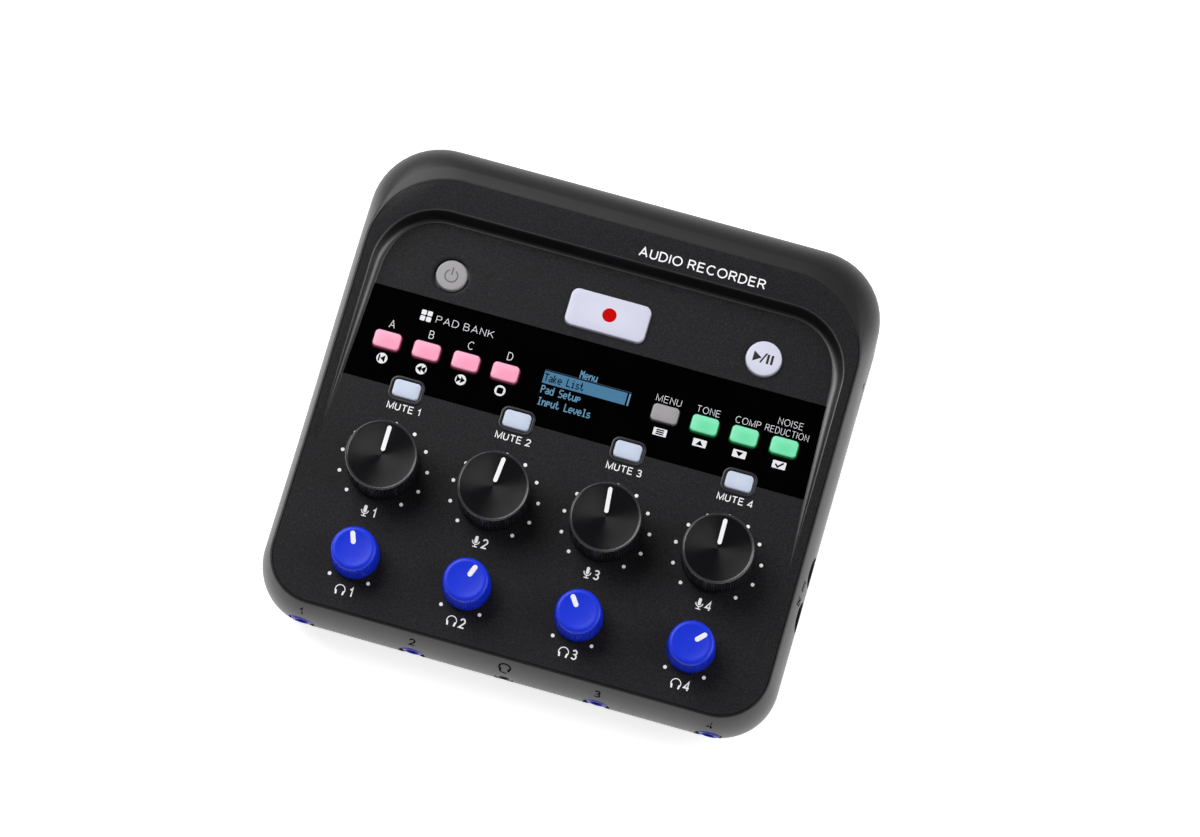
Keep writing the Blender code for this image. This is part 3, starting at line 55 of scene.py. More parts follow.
# The deck leans towards the user; its frame has its origin between the large knobs.
deckSlope = math.radians(5.0)
rimSlope = math.radians(3.8)
deckPlace = inMetres({"y": -26.8, "z": 30.0})
deckFrame = Matrix.Translation((0, deckPlace["y"], deckPlace["z"])) @ Matrix.Rotation(deckSlope, 4, "X")
backFrame = Matrix.Rotation(math.radians(-90), 4, "X")


# Small helpers for node trees

def colour(red, green, blue):
    # Display values from 0 to 255 as the linear colour that a shader wants.
    def linear(value):
        share = value / 255
        return share / 12.92 if share <= 0.04045 else ((share + 0.055) / 1.055) ** 2.4
    return (linear(red), linear(green), linear(blue), 1.0)


def addNode(tree, kind, inputs=None, **settings):
    node = tree.nodes.new("ShaderNode" + kind)
    for name, value in settings.items():
        setattr(node, name, value)
    for name, value in (inputs or {}).items():
        if isinstance(value, bpy.types.NodeSocket):
            tree.links.new(value, node.inputs[name])
        else:
            node.inputs[name].default_value = value
    return node


def calc(tree, operation, *values, clamp=False):
    node = addNode(tree, "Math", dict(enumerate(values)), operation=operation, use_clamp=clamp)
    return node.outputs[0]


def mixColour(tree, factor, first, second):
    return addNode(tree, "Mix", {0: factor, 6: first, 7: second}, data_type="RGBA").outputs[2]


def newGroup(name, inputs, outputs):
    tree = bpy.data.node_groups.new(name, "ShaderNodeTree")
    for label, kind, value in inputs:
        socket = tree.interface.new_socket(label, in_out="INPUT", socket_type="NodeSocket" + kind)
        socket.default_value = value
    for label, kind in outputs:
        tree.interface.new_socket(label, in_out="OUTPUT", socket_type="NodeSocket" + kind)
    start = tree.nodes.new("NodeGroupInput")
    end = tree.nodes.new("NodeGroupOutput")
    return tree, start.outputs, end.inputs


def useGroup(tree, group, **values):
    node = tree.nodes.new("ShaderNodeGroup")
    node.node_tree = group
    for name, value in values.items():
        node.inputs[name].default_value = value
    return node.outputs


# Effects that several materials share. Sizes are in millimetres.

def makeGrainAndTipHighlight():
    # The fine sand texture of moulded plastic: a height, and a mask of its raised tips, which the materials paint
    # lighter as a painted highlight.
    tree, given, made = newGroup("grainAndTipHighlight", [("Size", "Float", 0.5)], [("Height", "Float"), ("Tips", "Float")])
    place = addNode(tree, "TexCoord").outputs["Object"]
    fine = calc(tree, "DIVIDE", 1000.0, given["Size"])
    coarse = addNode(tree, "TexNoise", {"Vector": place, "Scale": fine, "Detail": 2.0, "Roughness": 0.6})
    finer = calc(tree, "MULTIPLY", fine, 2.6)
    small = addNode(tree, "TexNoise", {"Vector": place, "Scale": finer, "Detail": 1.0, "Roughness": 0.5})
    height = calc(tree, "MULTIPLY_ADD", small.outputs[0], 0.4, coarse.outputs[0])
    tips = addNode(tree, "MapRange", {0: height, 1: 0.62, 2: 0.95})
    tree.links.new(height, made["Height"])
    tree.links.new(tips.outputs[0], made["Tips"])
    return tree


def makeSlowDrift():
    # A slow change over the surface, about 1, for roughness and tint.
    tree, given, made = newGroup("slowDrift", [("Size", "Float", 20.0), ("Amount", "Float", 0.1)], [("Value", "Float")])
    place = addNode(tree, "TexCoord").outputs["Object"]
    scale = calc(tree, "DIVIDE", 1000.0, given["Size"])
    noise = addNode(tree, "TexNoise", {"Vector": place, "Scale": scale, "Detail": 3.0})
    middle = calc(tree, "SUBTRACT", noise.outputs[0], 0.5)
    spread = calc(tree, "MULTIPLY", middle, given["Amount"])
    value = calc(tree, "MULTIPLY_ADD", spread, 2.0, 1.0)
    tree.links.new(value, made["Value"])
    return tree


def makeTurnedRings():
    # Rings left by turning, round the piece's own axis.
    tree, given, made = newGroup("turnedRings", [("Pitch", "Float", 0.2)], [("Height", "Float")])
    place = addNode(tree, "SeparateXYZ", {0: addNode(tree, "TexCoord").outputs["Object"]})
    across = calc(tree, "MULTIPLY", place.outputs[0], place.outputs[0])
    along = calc(tree, "MULTIPLY_ADD", place.outputs[1], place.outputs[1], across)
    radius = calc(tree, "SQRT", along)
    rings = calc(tree, "DIVIDE", calc(tree, "MULTIPLY", radius, math.tau * 1000), given["Pitch"])
    tree.links.new(calc(tree, "SINE", rings), made["Height"])
    return tree


def makeLampGlow():
    # The soft spot of a lamp under a key cap, 1 at its middle and 0 at the cap's edge.
    sizes = {"Half Width": 4.0, "Half Depth": 2.6, "Shift X": 0.0, "Shift Y": 0.0}
    inputs = [(label, "Float", value) for label, value in sizes.items()]
    tree, given, made = newGroup("lampGlow", inputs, [("Glow", "Float"), ("Depth", "Float")])
    place = addNode(tree, "SeparateXYZ", {0: addNode(tree, "TexCoord").outputs["Object"]})
    shares = []
    for axis, shift, half in ((0, "Shift X", "Half Width"), (1, "Shift Y", "Half Depth")):
        value = calc(tree, "MULTIPLY_ADD", place.outputs[axis], 1000.0, calc(tree, "MULTIPLY", given[shift], -1.0))
        value = calc(tree, "DIVIDE", value, given[half])
        shares.append(calc(tree, "MULTIPLY", value, value))
    reach = calc(tree, "SQRT", calc(tree, "ADD", shares[0], shares[1]))
    glow = addNode(tree, "MapRange", {0: reach, 1: 1.15, 2: 0.1}, interpolation_type="SMOOTHSTEP")
    depth = addNode(tree, "MapRange", {0: place.outputs[2], 1: 1.15 * mm, 2: 0.2 * mm}, interpolation_type="SMOOTHSTEP")
    tree.links.new(glow.outputs[0], made["Glow"])
    tree.links.new(depth.outputs[0], made["Depth"])
    return tree


grainAndTipHighlight = makeGrainAndTipHighlight()
slowDrift = makeSlowDrift()
turnedRings = makeTurnedRings()
lampGlow = makeLampGlow()


# Materials

def newMaterial(name, base, roughness, drift=(20.0, 0.12), **constants):
    # A shader with its constants set on its own sockets; roughness drifts slowly over the surface.
    material = bpy.data.materials.new(name)
    material.use_nodes = True
    tree = material.node_tree
    shader = tree.nodes["Principled BSDF"]
    shader.inputs["Base Color"].default_value = base
    for label, value in constants.items():
        shader.inputs[label.replace("_", " ")].default_value = value
    wander = useGroup(tree, slowDrift, Size=drift[0], Amount=drift[1])["Value"]
    tree.links.new(calc(tree, "MULTIPLY", wander, roughness, clamp=True), shader.inputs["Roughness"])
    return material, tree, shader


def addBump(tree, shader, height, distance):
    bump = addNode(tree, "Bump", {"Height": height, "Distance": distance * mm})
    tree.links.new(bump.outputs[0], shader.inputs["Normal"])


def grainyPlasticWithTipHighlight(name, base, tip, roughness, size, depth, tipShare=1.0, **constants):
    base, tip = colour(*base), colour(*tip)
    material, tree, shader = newMaterial(name, base, roughness, **constants)
    reliefAndHighlight = useGroup(tree, grainAndTipHighlight, Size=size)
    drift = useGroup(tree, slowDrift, Size=35.0, Amount=0.10)["Value"]
    # The raised tips mix towards the lighter tip colour: a painted highlight on a real relief.
    mask = calc(tree, "MULTIPLY", calc(tree, "MULTIPLY", reliefAndHighlight["Tips"], drift), tipShare, clamp=True)
    tree.links.new(mixColour(tree, mask, base, tip), shader.inputs["Base Color"])
    addBump(tree, shader, reliefAndHighlight["Height"], depth)
    return material


def litKey(name, face, heart, skirt, halfSize, shift, strength):
    # Translucent cap over a lamp: a face colour, a warmer heart and a saturated skirt. Where the cap has no lit lamp,
    # the heart is a painted highlight and the skirt painted shade.
    face, heart, skirt = colour(*face), colour(*heart), colour(*skirt)
    material, tree, shader = newMaterial(name, face, 0.36, Emission_Strength=strength, Coat_Weight=0.15,
                                         Coat_Roughness=0.2)
    glow = useGroup(tree, lampGlow, **dict(zip(("Half Width", "Half Depth", "Shift X", "Shift Y"), (*halfSize, *shift))))
    lit = mixColour(tree, glow["Glow"], face, heart)
    lit = mixColour(tree, glow["Depth"], lit, skirt)
    tree.links.new(lit, shader.inputs["Base Color"])
    tree.links.new(lit, shader.inputs["Emission Color"])
    reliefAndHighlight = useGroup(tree, grainAndTipHighlight, Size=0.25)
    addBump(tree, shader, reliefAndHighlight["Height"], 0.004)
    return material


deckPlastic = grainyPlasticWithTipHighlight("deckPlastic", (12, 11, 14), (52, 50, 55), 0.56, 0.50, 0.035, 0.5, Specular_IOR_Level=0.22)
wallPlastic = grainyPlasticWithTipHighlight("wallPlastic", (24, 23, 24), (34, 33, 34), 0.42, 0.30, 0.003, 0.4, Specular_IOR_Level=0.4)
basePlastic = grainyPlasticWithTipHighlight("basePlastic", (27, 26, 28), (48, 47, 49), 0.48, 0.35, 0.012, 0.5)
innerPlastic = grainyPlasticWithTipHighlight("innerPlastic", (20, 20, 21), (34, 34, 35), 0.55, 0.60, 0.010, 0.5)
surroundPlastic = grainyPlasticWithTipHighlight("surroundPlastic", (33, 33, 37), (52, 52, 57), 0.34, 0.30, 0.004, 0.4)
socketPlastic = grainyPlasticWithTipHighlight("socketPlastic", (24, 24, 25), (40, 40, 42), 0.38, 0.30, 0.005, 0.4)
footRubber = grainyPlasticWithTipHighlight("footRubber", (30, 30, 31), (58, 58, 60), 0.85, 0.40, 0.030, 0.6)
knobSidePlastic = grainyPlasticWithTipHighlight("knobSidePlastic", (18, 17, 20), (32, 31, 34), 0.36, 0.25, 0.003, 0.4, Specular_IOR_Level=0.6)
knobRimPlastic = grainyPlasticWithTipHighlight("knobRimPlastic", (38, 37, 40), (52, 51, 54), 0.26, 0.25, 0.002, 0.3, Specular_IOR_Level=0.7)
bluePlastic = grainyPlasticWithTipHighlight("bluePlastic", (8, 44, 212), (24, 62, 224), 0.38, 0.22, 0.005, 0.5, Specular_IOR_Level=0.35)
blueRing = grainyPlasticWithTipHighlight("blueRing", (14, 22, 176), (30, 40, 192), 0.42, 0.25, 0.003, 0.4, Specular_IOR_Level=0.25)
pointerWhite = grainyPlasticWithTipHighlight("pointerWhite", (244, 244, 246), (250, 250, 250), 0.35, 0.30, 0.002, 0.5)
# White and grey print glow a little though they are no lamp: painted light that keeps the print bright in shade.
glowingInkWhite = grainyPlasticWithTipHighlight("glowingInkWhite", (226, 226, 228), (236, 236, 238), 0.50, 0.20, 0.002, 0.6, Emission_Strength=0.2)
glowingInkGrey = grainyPlasticWithTipHighlight("glowingInkGrey", (220, 221, 225), (234, 234, 236), 0.50, 0.20, 0.002, 0.6, Emission_Strength=0.08)
inkDark = grainyPlasticWithTipHighlight("inkDark", (10, 10, 11), (20, 20, 21), 0.45, 0.20, 0.002, 0.6)
wallInk = grainyPlasticWithTipHighlight("wallInk", (3, 3, 4), (8, 8, 9), 0.85, 0.20, 0.002, 0.6, Specular_IOR_Level=0.0)
recordRed = grainyPlasticWithTipHighlight("recordRed", (196, 0, 2), (202, 2, 4), 0.5, 0.25, 0.002, 0.5, Specular_IOR_Level=0.04)
powerGrey = grainyPlasticWithTipHighlight("powerGrey", (154, 152, 154), (168, 166, 168), 0.38, 0.25, 0.004, 0.5)
powerMark = grainyPlasticWithTipHighlight("powerMark", (92, 91, 94), (106, 105, 108), 0.45, 0.25, 0.002, 0.5)
menuGrey = litKey("menuGrey", (154, 152, 155), (160, 158, 161), (118, 116, 119), (4.3, 2.85), (0.0, 0.0), 0.0)
padPink = litKey("padPink", (238, 164, 192), (250, 152, 182), (196, 78, 110), (4.0, 2.6), (0.7, -0.5), 0.10)
keyGreen = litKey("keyGreen", (124, 224, 180), (104, 218, 160), (20, 176, 74), (3.8, 2.4), (0.4, -0.4), 0.10)
# The mute, record and play caps glow faintly with no lit lamp: painted light that lifts them.
keyMute = litKey("keyMute", (196, 205, 226), (202, 214, 232), (170, 176, 196), (4.3, 2.85), (0.0, 0.0), 0.03)
keyWhite = litKey("keyWhite", (208, 209, 228), (214, 215, 232), (190, 188, 202), (11.0, 5.5), (0.0, 0.0), 0.03)


def makeRimPlastic():
    # The satin wall inside the rim, with painted sheen and shade: its coat is strong where it faces the sides and fades
    # towards its low end and where it faces the front.
    material, tree, shader = newMaterial("rimPlastic", colour(15, 14, 16), 0.45, Specular_IOR_Level=0.3, Coat_IOR=1.7,
                                         Coat_Roughness=0.4)
    source = addNode(tree, "TexCoord").outputs
    facing = addNode(tree, "SeparateXYZ", {0: source["Normal"]})
    place = addNode(tree, "SeparateXYZ", {0: source["Object"]})
    along = addNode(tree, "MapRange", {0: place.outputs[1], 1: -20 * mm, 2: 22 * mm, 3: 0.1, 4: 1.0})
    sheenByFacing = addNode(tree, "MapRange", {0: facing.outputs[1], 1: -0.8, 2: -0.15}, interpolation_type="SMOOTHSTEP")
    tree.links.new(calc(tree, "MULTIPLY", sheenByFacing.outputs[0], along.outputs[0]), shader.inputs["Coat Weight"])
    reliefAndHighlight = useGroup(tree, grainAndTipHighlight, Size=0.3)
    # Lighter raised tips here as well: a painted highlight.
    tree.links.new(mixColour(tree, reliefAndHighlight["Tips"], colour(14, 13, 15), colour(24, 23, 25)), shader.inputs["Base Color"])
    addBump(tree, shader, reliefAndHighlight["Height"], 0.004)
    return material


def makeStripGloss():
    material, tree, shader = newMaterial("stripGloss", colour(0, 0, 1), 0.10, drift=(30.0, 0.3), Specular_IOR_Level=0.06)
    smudge = useGroup(tree, slowDrift, Size=14.0, Amount=0.5)["Value"]
    tree.links.new(mixColour(tree, calc(tree, "SUBTRACT", smudge, 0.9, clamp=True), colour(0, 0, 1), colour(3, 3, 4)),
                   shader.inputs["Base Color"])
    return material


def makeKnobTop():
    # The turned face of the large knobs: fine rings that stretch highlights into a bow tie.
    material, tree, shader = newMaterial("knobTop", colour(10, 9, 12), 0.30, drift=(8.0, 0.1), Anisotropic=0.9,
                                         Anisotropic_Rotation=0.25, Specular_IOR_Level=0.28)
    rings = useGroup(tree, turnedRings, Pitch=0.24)["Height"]
    addBump(tree, shader, rings, 0.004)
    lift = calc(tree, "MULTIPLY_ADD", rings, 0.12, 0.5)
    tree.links.new(mixColour(tree, lift, colour(7, 6, 9), colour(14, 13, 16)), shader.inputs["Base Color"])
    tangent = addNode(tree, "Tangent", direction_type="RADIAL", axis="Z")
    tree.links.new(tangent.outputs[0], shader.inputs["Tangent"])
    return material


def makeDisplayLight(name, base, strength):
    # Lit pixels, each a little uneven.
    material, tree, shader = newMaterial(name, colour(8, 14, 20), 0.3, Emission_Strength=strength)
    drift = useGroup(tree, slowDrift, Size=1.2, Amount=0.25)["Value"]
    darker = tuple(0.6 * value for value in base[:3]) + (1.0,)
    share = calc(tree, "SUBTRACT", drift, 0.5, clamp=True)
    tree.links.new(mixColour(tree, share, darker, base), shader.inputs["Emission Color"])
    return material


def makeMetal(name, base, roughness, ringPitch, ringDepth):
    material, tree, shader = newMaterial(name, base, roughness, drift=(3.0, 0.25), Metallic=1.0)
    rings = useGroup(tree, turnedRings, Pitch=ringPitch)["Height"]
    addBump(tree, shader, rings, ringDepth)
    darker = tuple(0.8 * value for value in base[:3]) + (1.0,)
    drift = useGroup(tree, slowDrift, Size=1.5, Amount=0.5)["Value"]
    tree.links.new(mixColour(tree, calc(tree, "SUBTRACT", drift, 0.5, clamp=True), darker, base), shader.inputs["Base Color"])
    return material


def makeBoardGreen():
    # Solder mask with the faint relief of its tracks.
    material, tree, shader = newMaterial("boardGreen", colour(16, 92, 52), 0.42)
    place = addNode(tree, "TexCoord").outputs["Object"]
    tracks = addNode(tree, "TexBrick", {"Vector": place, "Scale": 260.0, "Color1": colour(20, 104, 58),
                                        "Color2": colour(14, 84, 46), "Mortar": colour(26, 122, 70), "Mortar Size": 0.08})
    tree.links.new(tracks.outputs["Color"], shader.inputs["Base Color"])
    addBump(tree, shader, tracks.outputs["Fac"], 0.02)
    return material


def makeCellJacket():
    # A printed jacket: dark body, copper band at one end.
    material, tree, shader = newMaterial("cellJacket", colour(40, 41, 44), 0.32, Metallic=0.4)
    place = addNode(tree, "SeparateXYZ", {0: addNode(tree, "TexCoord").outputs["Object"]})
    band = addNode(tree, "MapRange", {0: place.outputs[0], 1: 14.9 * mm, 2: 15.1 * mm})
    drift = useGroup(tree, slowDrift, Size=4.0, Amount=0.2)["Value"]
    body = mixColour(tree, calc(tree, "SUBTRACT", drift, 0.6, clamp=True), colour(30, 31, 34), colour(52, 53, 56))
    tree.links.new(mixColour(tree, band.outputs[0], body, colour(176, 120, 72)), shader.inputs["Base Color"])
    return material


rimPlastic = makeRimPlastic()
stripGloss = makeStripGloss()
knobTop = makeKnobTop()
displayLight = makeDisplayLight("displayLight", colour(112, 172, 208), 0.85)
displayBar = makeDisplayLight("displayBar", colour(78, 142, 184), 0.80)
displayDim = makeDisplayLight("displayDim", colour(40, 70, 92), 0.60)
turnedSteel = makeMetal("turnedSteel", colour(176, 176, 178), 0.30, 0.20, 0.003)
portSteel = makeMetal("portSteel", colour(150, 151, 154), 0.34, 5.0, 0.0)
contactGold = makeMetal("contactGold", colour(206, 170, 104), 0.28, 5.0, 0.0)
boardGreen = makeBoardGreen()
cellJacket = makeCellJacket()
print("materials made:", len(bpy.data.materials))


# Outlines and solids

def circle(radius, count, centre=(0.0, 0.0)):
    turns = [math.tau * k / count for k in range(count)]
    return [(centre[0] + radius * math.cos(t), centre[1] + radius * math.sin(t)) for t in turns]


def roundedBox(width, depth, radius, steps=8, centre=(0.0, 0.0)):
    points = []
    for quarter in range(4):
        signX = 1 if quarter in (0, 3) else -1
        signY = 1 if quarter in (0, 1) else -1
        for k in range(steps + 1):
            turn = math.pi / 2 * (quarter + k / steps)
            points.append((centre[0] + signX * (width / 2 - radius) + radius * math.cos(turn),
                           centre[1] + signY * (depth / 2 - radius) + radius * math.sin(turn)))
    return points


def capsule(start, end, width, steps=10):
    # A bar with round ends along +Y.
    half = width / 2
    arc = [(half * math.cos(math.pi * k / steps), half * math.sin(math.pi * k / steps)) for k in range(steps + 1)]
    return [(x, end - half + y) for x, y in arc] + [(-x, start + half - y) for x, y in arc]


def addLoft(form, rings, slots=None, closed=False, capLow=True, capHigh=True):
    rows = [[form.verts.new(point) for point in ring] for ring in rings]
    count = len(rows[0])
    pairs = list(zip(rows, rows[1:]))
    if closed:
        pairs.append((rows[-1], rows[0]))
    for index, (lower, upper) in enumerate(pairs):
        for k in range(count):
            n = (k + 1) % count
            face = form.faces.new((lower[k], lower[n], upper[n], upper[k]))
            face.material_index = slots[index] if slots else 0
    if not closed and capLow:
        form.faces.new(rows[0][::-1]).material_index = slots[0] if slots else 0
    if not closed and capHigh:
        form.faces.new(rows[-1]).material_index = slots[-1] if slots else 0


def addPrism(form, outline, low, high, place=Matrix.Identity(4), slot=0):
    rings = [[place @ Vector((x, y, z)) for x, y in outline] for z in (low, high)]
    addLoft(form, rings, slots=[slot])


def addTurned(form, profile, count, place=Matrix.Identity(4), slots=None, closed=False):
    # Rings round Z from (radius, height) pairs; a radius of 0 closes to a point.
    rings = []
    start = 0
    end = len(profile)
    poles = []
    if profile[0][0] == 0:
        start = 1
        poles.append(0)
    if profile[-1][0] == 0:
        end -= 1
        poles.append(-1)
    for radius, height in profile[start:end]:
        rings.append([place @ Vector((x, y, height)) for x, y in circle(radius, count)])
    cut = slots[start:end - 1] if slots and not closed else slots
    addLoft(form, rings, cut, closed, capLow=0 not in poles, capHigh=-1 not in poles)
    form.verts.ensure_lookup_table()
    last = len(form.verts)
    for pole in poles:
        tip = form.verts.new(place @ Vector((0, 0, profile[pole][1])))
        base = last - count * len(rings) if pole == 0 else last - count
        ring = form.verts[:][base:base + count]
        for k in range(count):
            face = form.faces.new((ring[k], ring[(k + 1) % count], tip))
            face.material_index = slots[pole] if slots else 0


def linkObject(name, form, materials, angle=32):
    bmesh.ops.recalc_face_normals(form, faces=form.faces)
    mesh = bpy.data.meshes.new(name)
    form.to_mesh(mesh)
    form.free()
    smooth(mesh, angle)
    for material in materials:
        mesh.materials.append(material)
    item = bpy.data.objects.new(name, mesh)
    bpy.context.scene.collection.objects.link(item)
    return item


def dress(item, body, node=None):
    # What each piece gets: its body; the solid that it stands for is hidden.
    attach(item, body)
    if node:
        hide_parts(node)


def addPiece(name, form, materials, body, place=None, angle=32, node=None):
    item = linkObject(name, form, materials, angle)
    if place is not None:
        item.matrix_world = place
    dress(item, body, node)


def smooth(mesh, angle=32):
    mesh.shade_smooth()
    mesh.set_sharp_from_angle(angle=math.radians(angle))


def cutter(form, slot=2):
    item = linkObject("cutter", form, [])
    for face in item.data.polygons:
        face.material_index = slot
    return item


def combine(item, other, operation="DIFFERENCE"):
    step = item.modifiers.new("combine", "BOOLEAN")
    step.operation = operation
    step.solver = "EXACT"
    step.object = other


def settle(item):
    # Turns the combined result into the piece's own mesh and removes what cut it.
    bpy.context.view_layer.update()
    made = bpy.data.meshes.new_from_object(item.evaluated_get(bpy.context.evaluated_depsgraph_get()))
    others = [step.object for step in item.modifiers if step.type == "BOOLEAN"]
    item.modifiers.clear()
    old = item.data
    item.data = made
    bpy.data.meshes.remove(old)
    for other in others:
        bpy.data.objects.remove(other, do_unlink=True)


def prismCutter(outline, low, high, place=Matrix.Identity(4), slot=2):
    form = bmesh.new()
    addPrism(form, outline, low, high, place)
    return cutter(form, slot)


# Case surfaces: the same shape as the solids, with finer steps and rounded edges

caseShape = inMetres({
    "halfWidth": 78.0, "front": -73.7, "back": 64.3, "corner": 25.0, "nearCorner": 15.3,
    "frontCorner": 18.0, "backCorner": 21.5,
    "rimStart": -24.8, "rimHalfWidth": 74.2, "rimBack": 53.4, "rimCorner": 20.0,
    "shoulderDrop": 11.7, "sideBulge": 2.9, "backRound": 12.06, "lowerRadius": 10.0, "seam": 5.2,
    "wall": 2.2, "deckThickness": 2.5, "gap": 0.3, "footHeight": 2.0, "floor": 2.4, "lipHeight": 1.3, "lipWall": 1.5,
    "creaseRound": 0.4, "grooveWidth": 0.34, "grooveDepth": 0.3, "rimRound": 0.5, "rimFoot": 0.9, "rimSweep": 0.7,
})
lowerAngle = math.radians(60)
rimDraft = {"side": 0.58, "back": 0.19, "turn": 0.8}
caseSteps = {"corner": 22, "shoulder": 12, "lower": 6, "crease": 4, "rimSide": 10}


def deckHeight(y):
    return deckPlace["z"] + (y - deckPlace["y"]) * math.tan(deckSlope)


def rimRise(y):
    return max(0.0, y - caseShape["rimStart"]) * (math.tan(deckSlope + rimSlope) - math.tan(deckSlope))


def topHeight(y):
    return deckHeight(y) + rimRise(y)


def backness(normal):
    lean = max(0.0, (normal.y - 0.1) / 0.9)
    return lean * lean * (3 - 2 * lean)


def casePlan(steps):
    # Crease points with outward normals, from the right front corner round the back.
    c = caseShape
    plan = []
    for quarter in range(4):
        signX = 1 if quarter in (0, 1) else -1
        near = quarter in (0, 3)
        radius = c["nearCorner"] if near else c["corner"]
        centreX = signX * (c["halfWidth"] - radius)
        centreY = c["front"] + radius if near else c["back"] - radius
        if quarter in (1, 3):
            plan.append((Vector((signX * c["halfWidth"], c["rimStart"], 0)), Vector((signX, 0, 0))))
        for k in range(steps + 1):
            turn = math.pi / 2 * (quarter - 1 + k / steps)
            normal = Vector((math.cos(turn), math.sin(turn), 0))
            plan.append((Vector((centreX, centreY, 0)) + normal * radius, normal))
    return plan


def widestReach(normal, inset=0.0):
    # How far the widest outline, drawn in by an inset, stands outside the crease.
    c = caseShape
    atBack = normal.y > 0
    crease = c["corner"] if atBack else c["nearCorner"]
    side = crease + c["sideBulge"] - inset
    end = crease + (c["backRound"] if atBack else c["sideBulge"]) - inset
    radius = (c["backCorner"] if atBack else c["frontCorner"]) - inset
    across = abs(normal.x)
    along = abs(normal.y)
    if side * along <= (end - radius) * across:
        return side / across - crease
    if end * across <= (side - radius) * along:
        return end / along - crease
    middle = across * (side - radius) + along * (end - radius)
    offset = (side - radius) ** 2 + (end - radius) ** 2
    return middle + math.sqrt(middle ** 2 - offset + radius ** 2) - crease


def wallReach(normal, drop):
    c = caseShape
    radius = (c["shoulderDrop"] ** 2 + c["sideBulge"] ** 2) / (2 * c["sideBulge"])
    side = 1 - (radius - math.sqrt(radius ** 2 - (c["shoulderDrop"] - drop) ** 2)) / c["sideBulge"]
    back = math.sqrt(1 - (1 - drop / c["shoulderDrop"]) ** 2)
    share = backness(normal)
    return widestReach(normal) * (side * (1 - share) + back * share)


def wallPoint(point, normal, drop):
    place = point + normal * wallReach(normal, drop)
    place.z = topHeight(point.y) - drop
    return place


def wallRing(plan, inset, height):
    ring = []
    for point, normal in plan:
        place = point + normal * widestReach(normal, inset)
        place.z = height
        ring.append(place)
    return ring


def bend(first, corner, last, steps):
    # A soft edge between two surfaces that meet at a corner.
    points = []
    for k in range(steps + 1):
        t = k / steps
        points.append(first * (1 - t) ** 2 + corner * 2 * t * (1 - t) + last * t ** 2)
    return points


def wallRings(plan, steps):
    c = caseShape
    columns = []
    for point, normal in plan:
        inner = point - normal * c["creaseRound"]
        inner.z = topHeight(inner.y)
        crease = point.copy()
        crease.z = topHeight(point.y)
        column = []
        for share, depth in ((1.0, 0.0), (0.5, c["grooveDepth"] * (1 - backness(normal)))):
            place = point - normal * (c["creaseRound"] + c["grooveWidth"] * share)
            place.z = topHeight(place.y) - depth
            column.append(place)
        column += bend(inner, crease, wallPoint(point, normal, c["creaseRound"]), steps["crease"])
        for k in range(1, steps["shoulder"] + 1):
            turn = math.pi / 2 * k / steps["shoulder"]
            drop = c["creaseRound"] + (c["shoulderDrop"] - c["creaseRound"]) * (1 - math.cos(turn))
            column.append(wallPoint(point, normal, drop))
        for k in range(steps["lower"] + 1):
            turn = lowerAngle * k / steps["lower"]
            inset = c["lowerRadius"] * (1 - math.cos(turn))
            place = point + normal * widestReach(normal, inset)
            place.z = c["seam"] + c["lowerRadius"] * (math.sin(lowerAngle) - math.sin(turn))
            column.append(place)
        columns.append(column)
    return [[column[k] for column in columns] for k in range(len(columns[0]))]


def seamInset():
    return caseShape["lowerRadius"] * (1 - math.cos(lowerAngle))


def rimColumns(steps):
    # Columns of points down the wall inside the rim, from its right end round the back to its left end.
    c = caseShape
    turnY = c["rimBack"] - c["rimCorner"]
    tops = []
    for k in range(1, steps["rimSide"]):
        y = c["rimStart"] + (turnY - c["rimStart"]) * k / steps["rimSide"]
        tops.append((Vector((c["rimHalfWidth"], y, 0)), Vector((1, 0, 0))))
    for quarter in (0, 1):
        centreX = (1 - 2 * quarter) * (c["rimHalfWidth"] - c["rimCorner"])
        for k in range(steps["corner"] + 1):
            turn = math.pi / 2 * (quarter + k / steps["corner"])
            normal = Vector((math.cos(turn), math.sin(turn), 0))
            tops.append((Vector((centreX, turnY, 0)) + normal * c["rimCorner"], normal))
    for point, normal in reversed(tops[:steps["rimSide"] - 1]):
        tops.append((Vector((-point.x, point.y, 0)), Vector((-1, 0, 0))))
    columns = []
    for top, normal in tops:
        rise = rimRise(top.y)
        share = backness(normal)
        draft = rimDraft["side"] * (1 - share) + rimDraft["back"] * share
        foot = top - normal * draft * rise
        foot.z = deckHeight(foot.y)
        rounding = min(c["rimRound"], 0.35 * rise)
        outer = top + normal * rounding
        outer.z = topHeight(outer.y)
        top = top.copy()
        top.z = topHeight(top.y)
        turn = foot + normal * draft * rise * rimDraft["turn"] * (1 - share)
        turn.z = deckHeight(turn.y)
        down = (turn - top).normalized()
        hollow = min(c["rimFoot"], 0.45 * rise) * share
        inner = foot - normal * (hollow + min(c["rimSweep"], 0.5 * rise) * (1 - share))
        inner.z = deckHeight(inner.y)
        swept = (turn - top).length - rounding - 0.05 * rise
        column = bend(outer, top, top + down * rounding, 5)
        column += bend(turn - down * (hollow + swept * (1 - share)), turn, inner, 10)
        columns.append(column)
    return columns


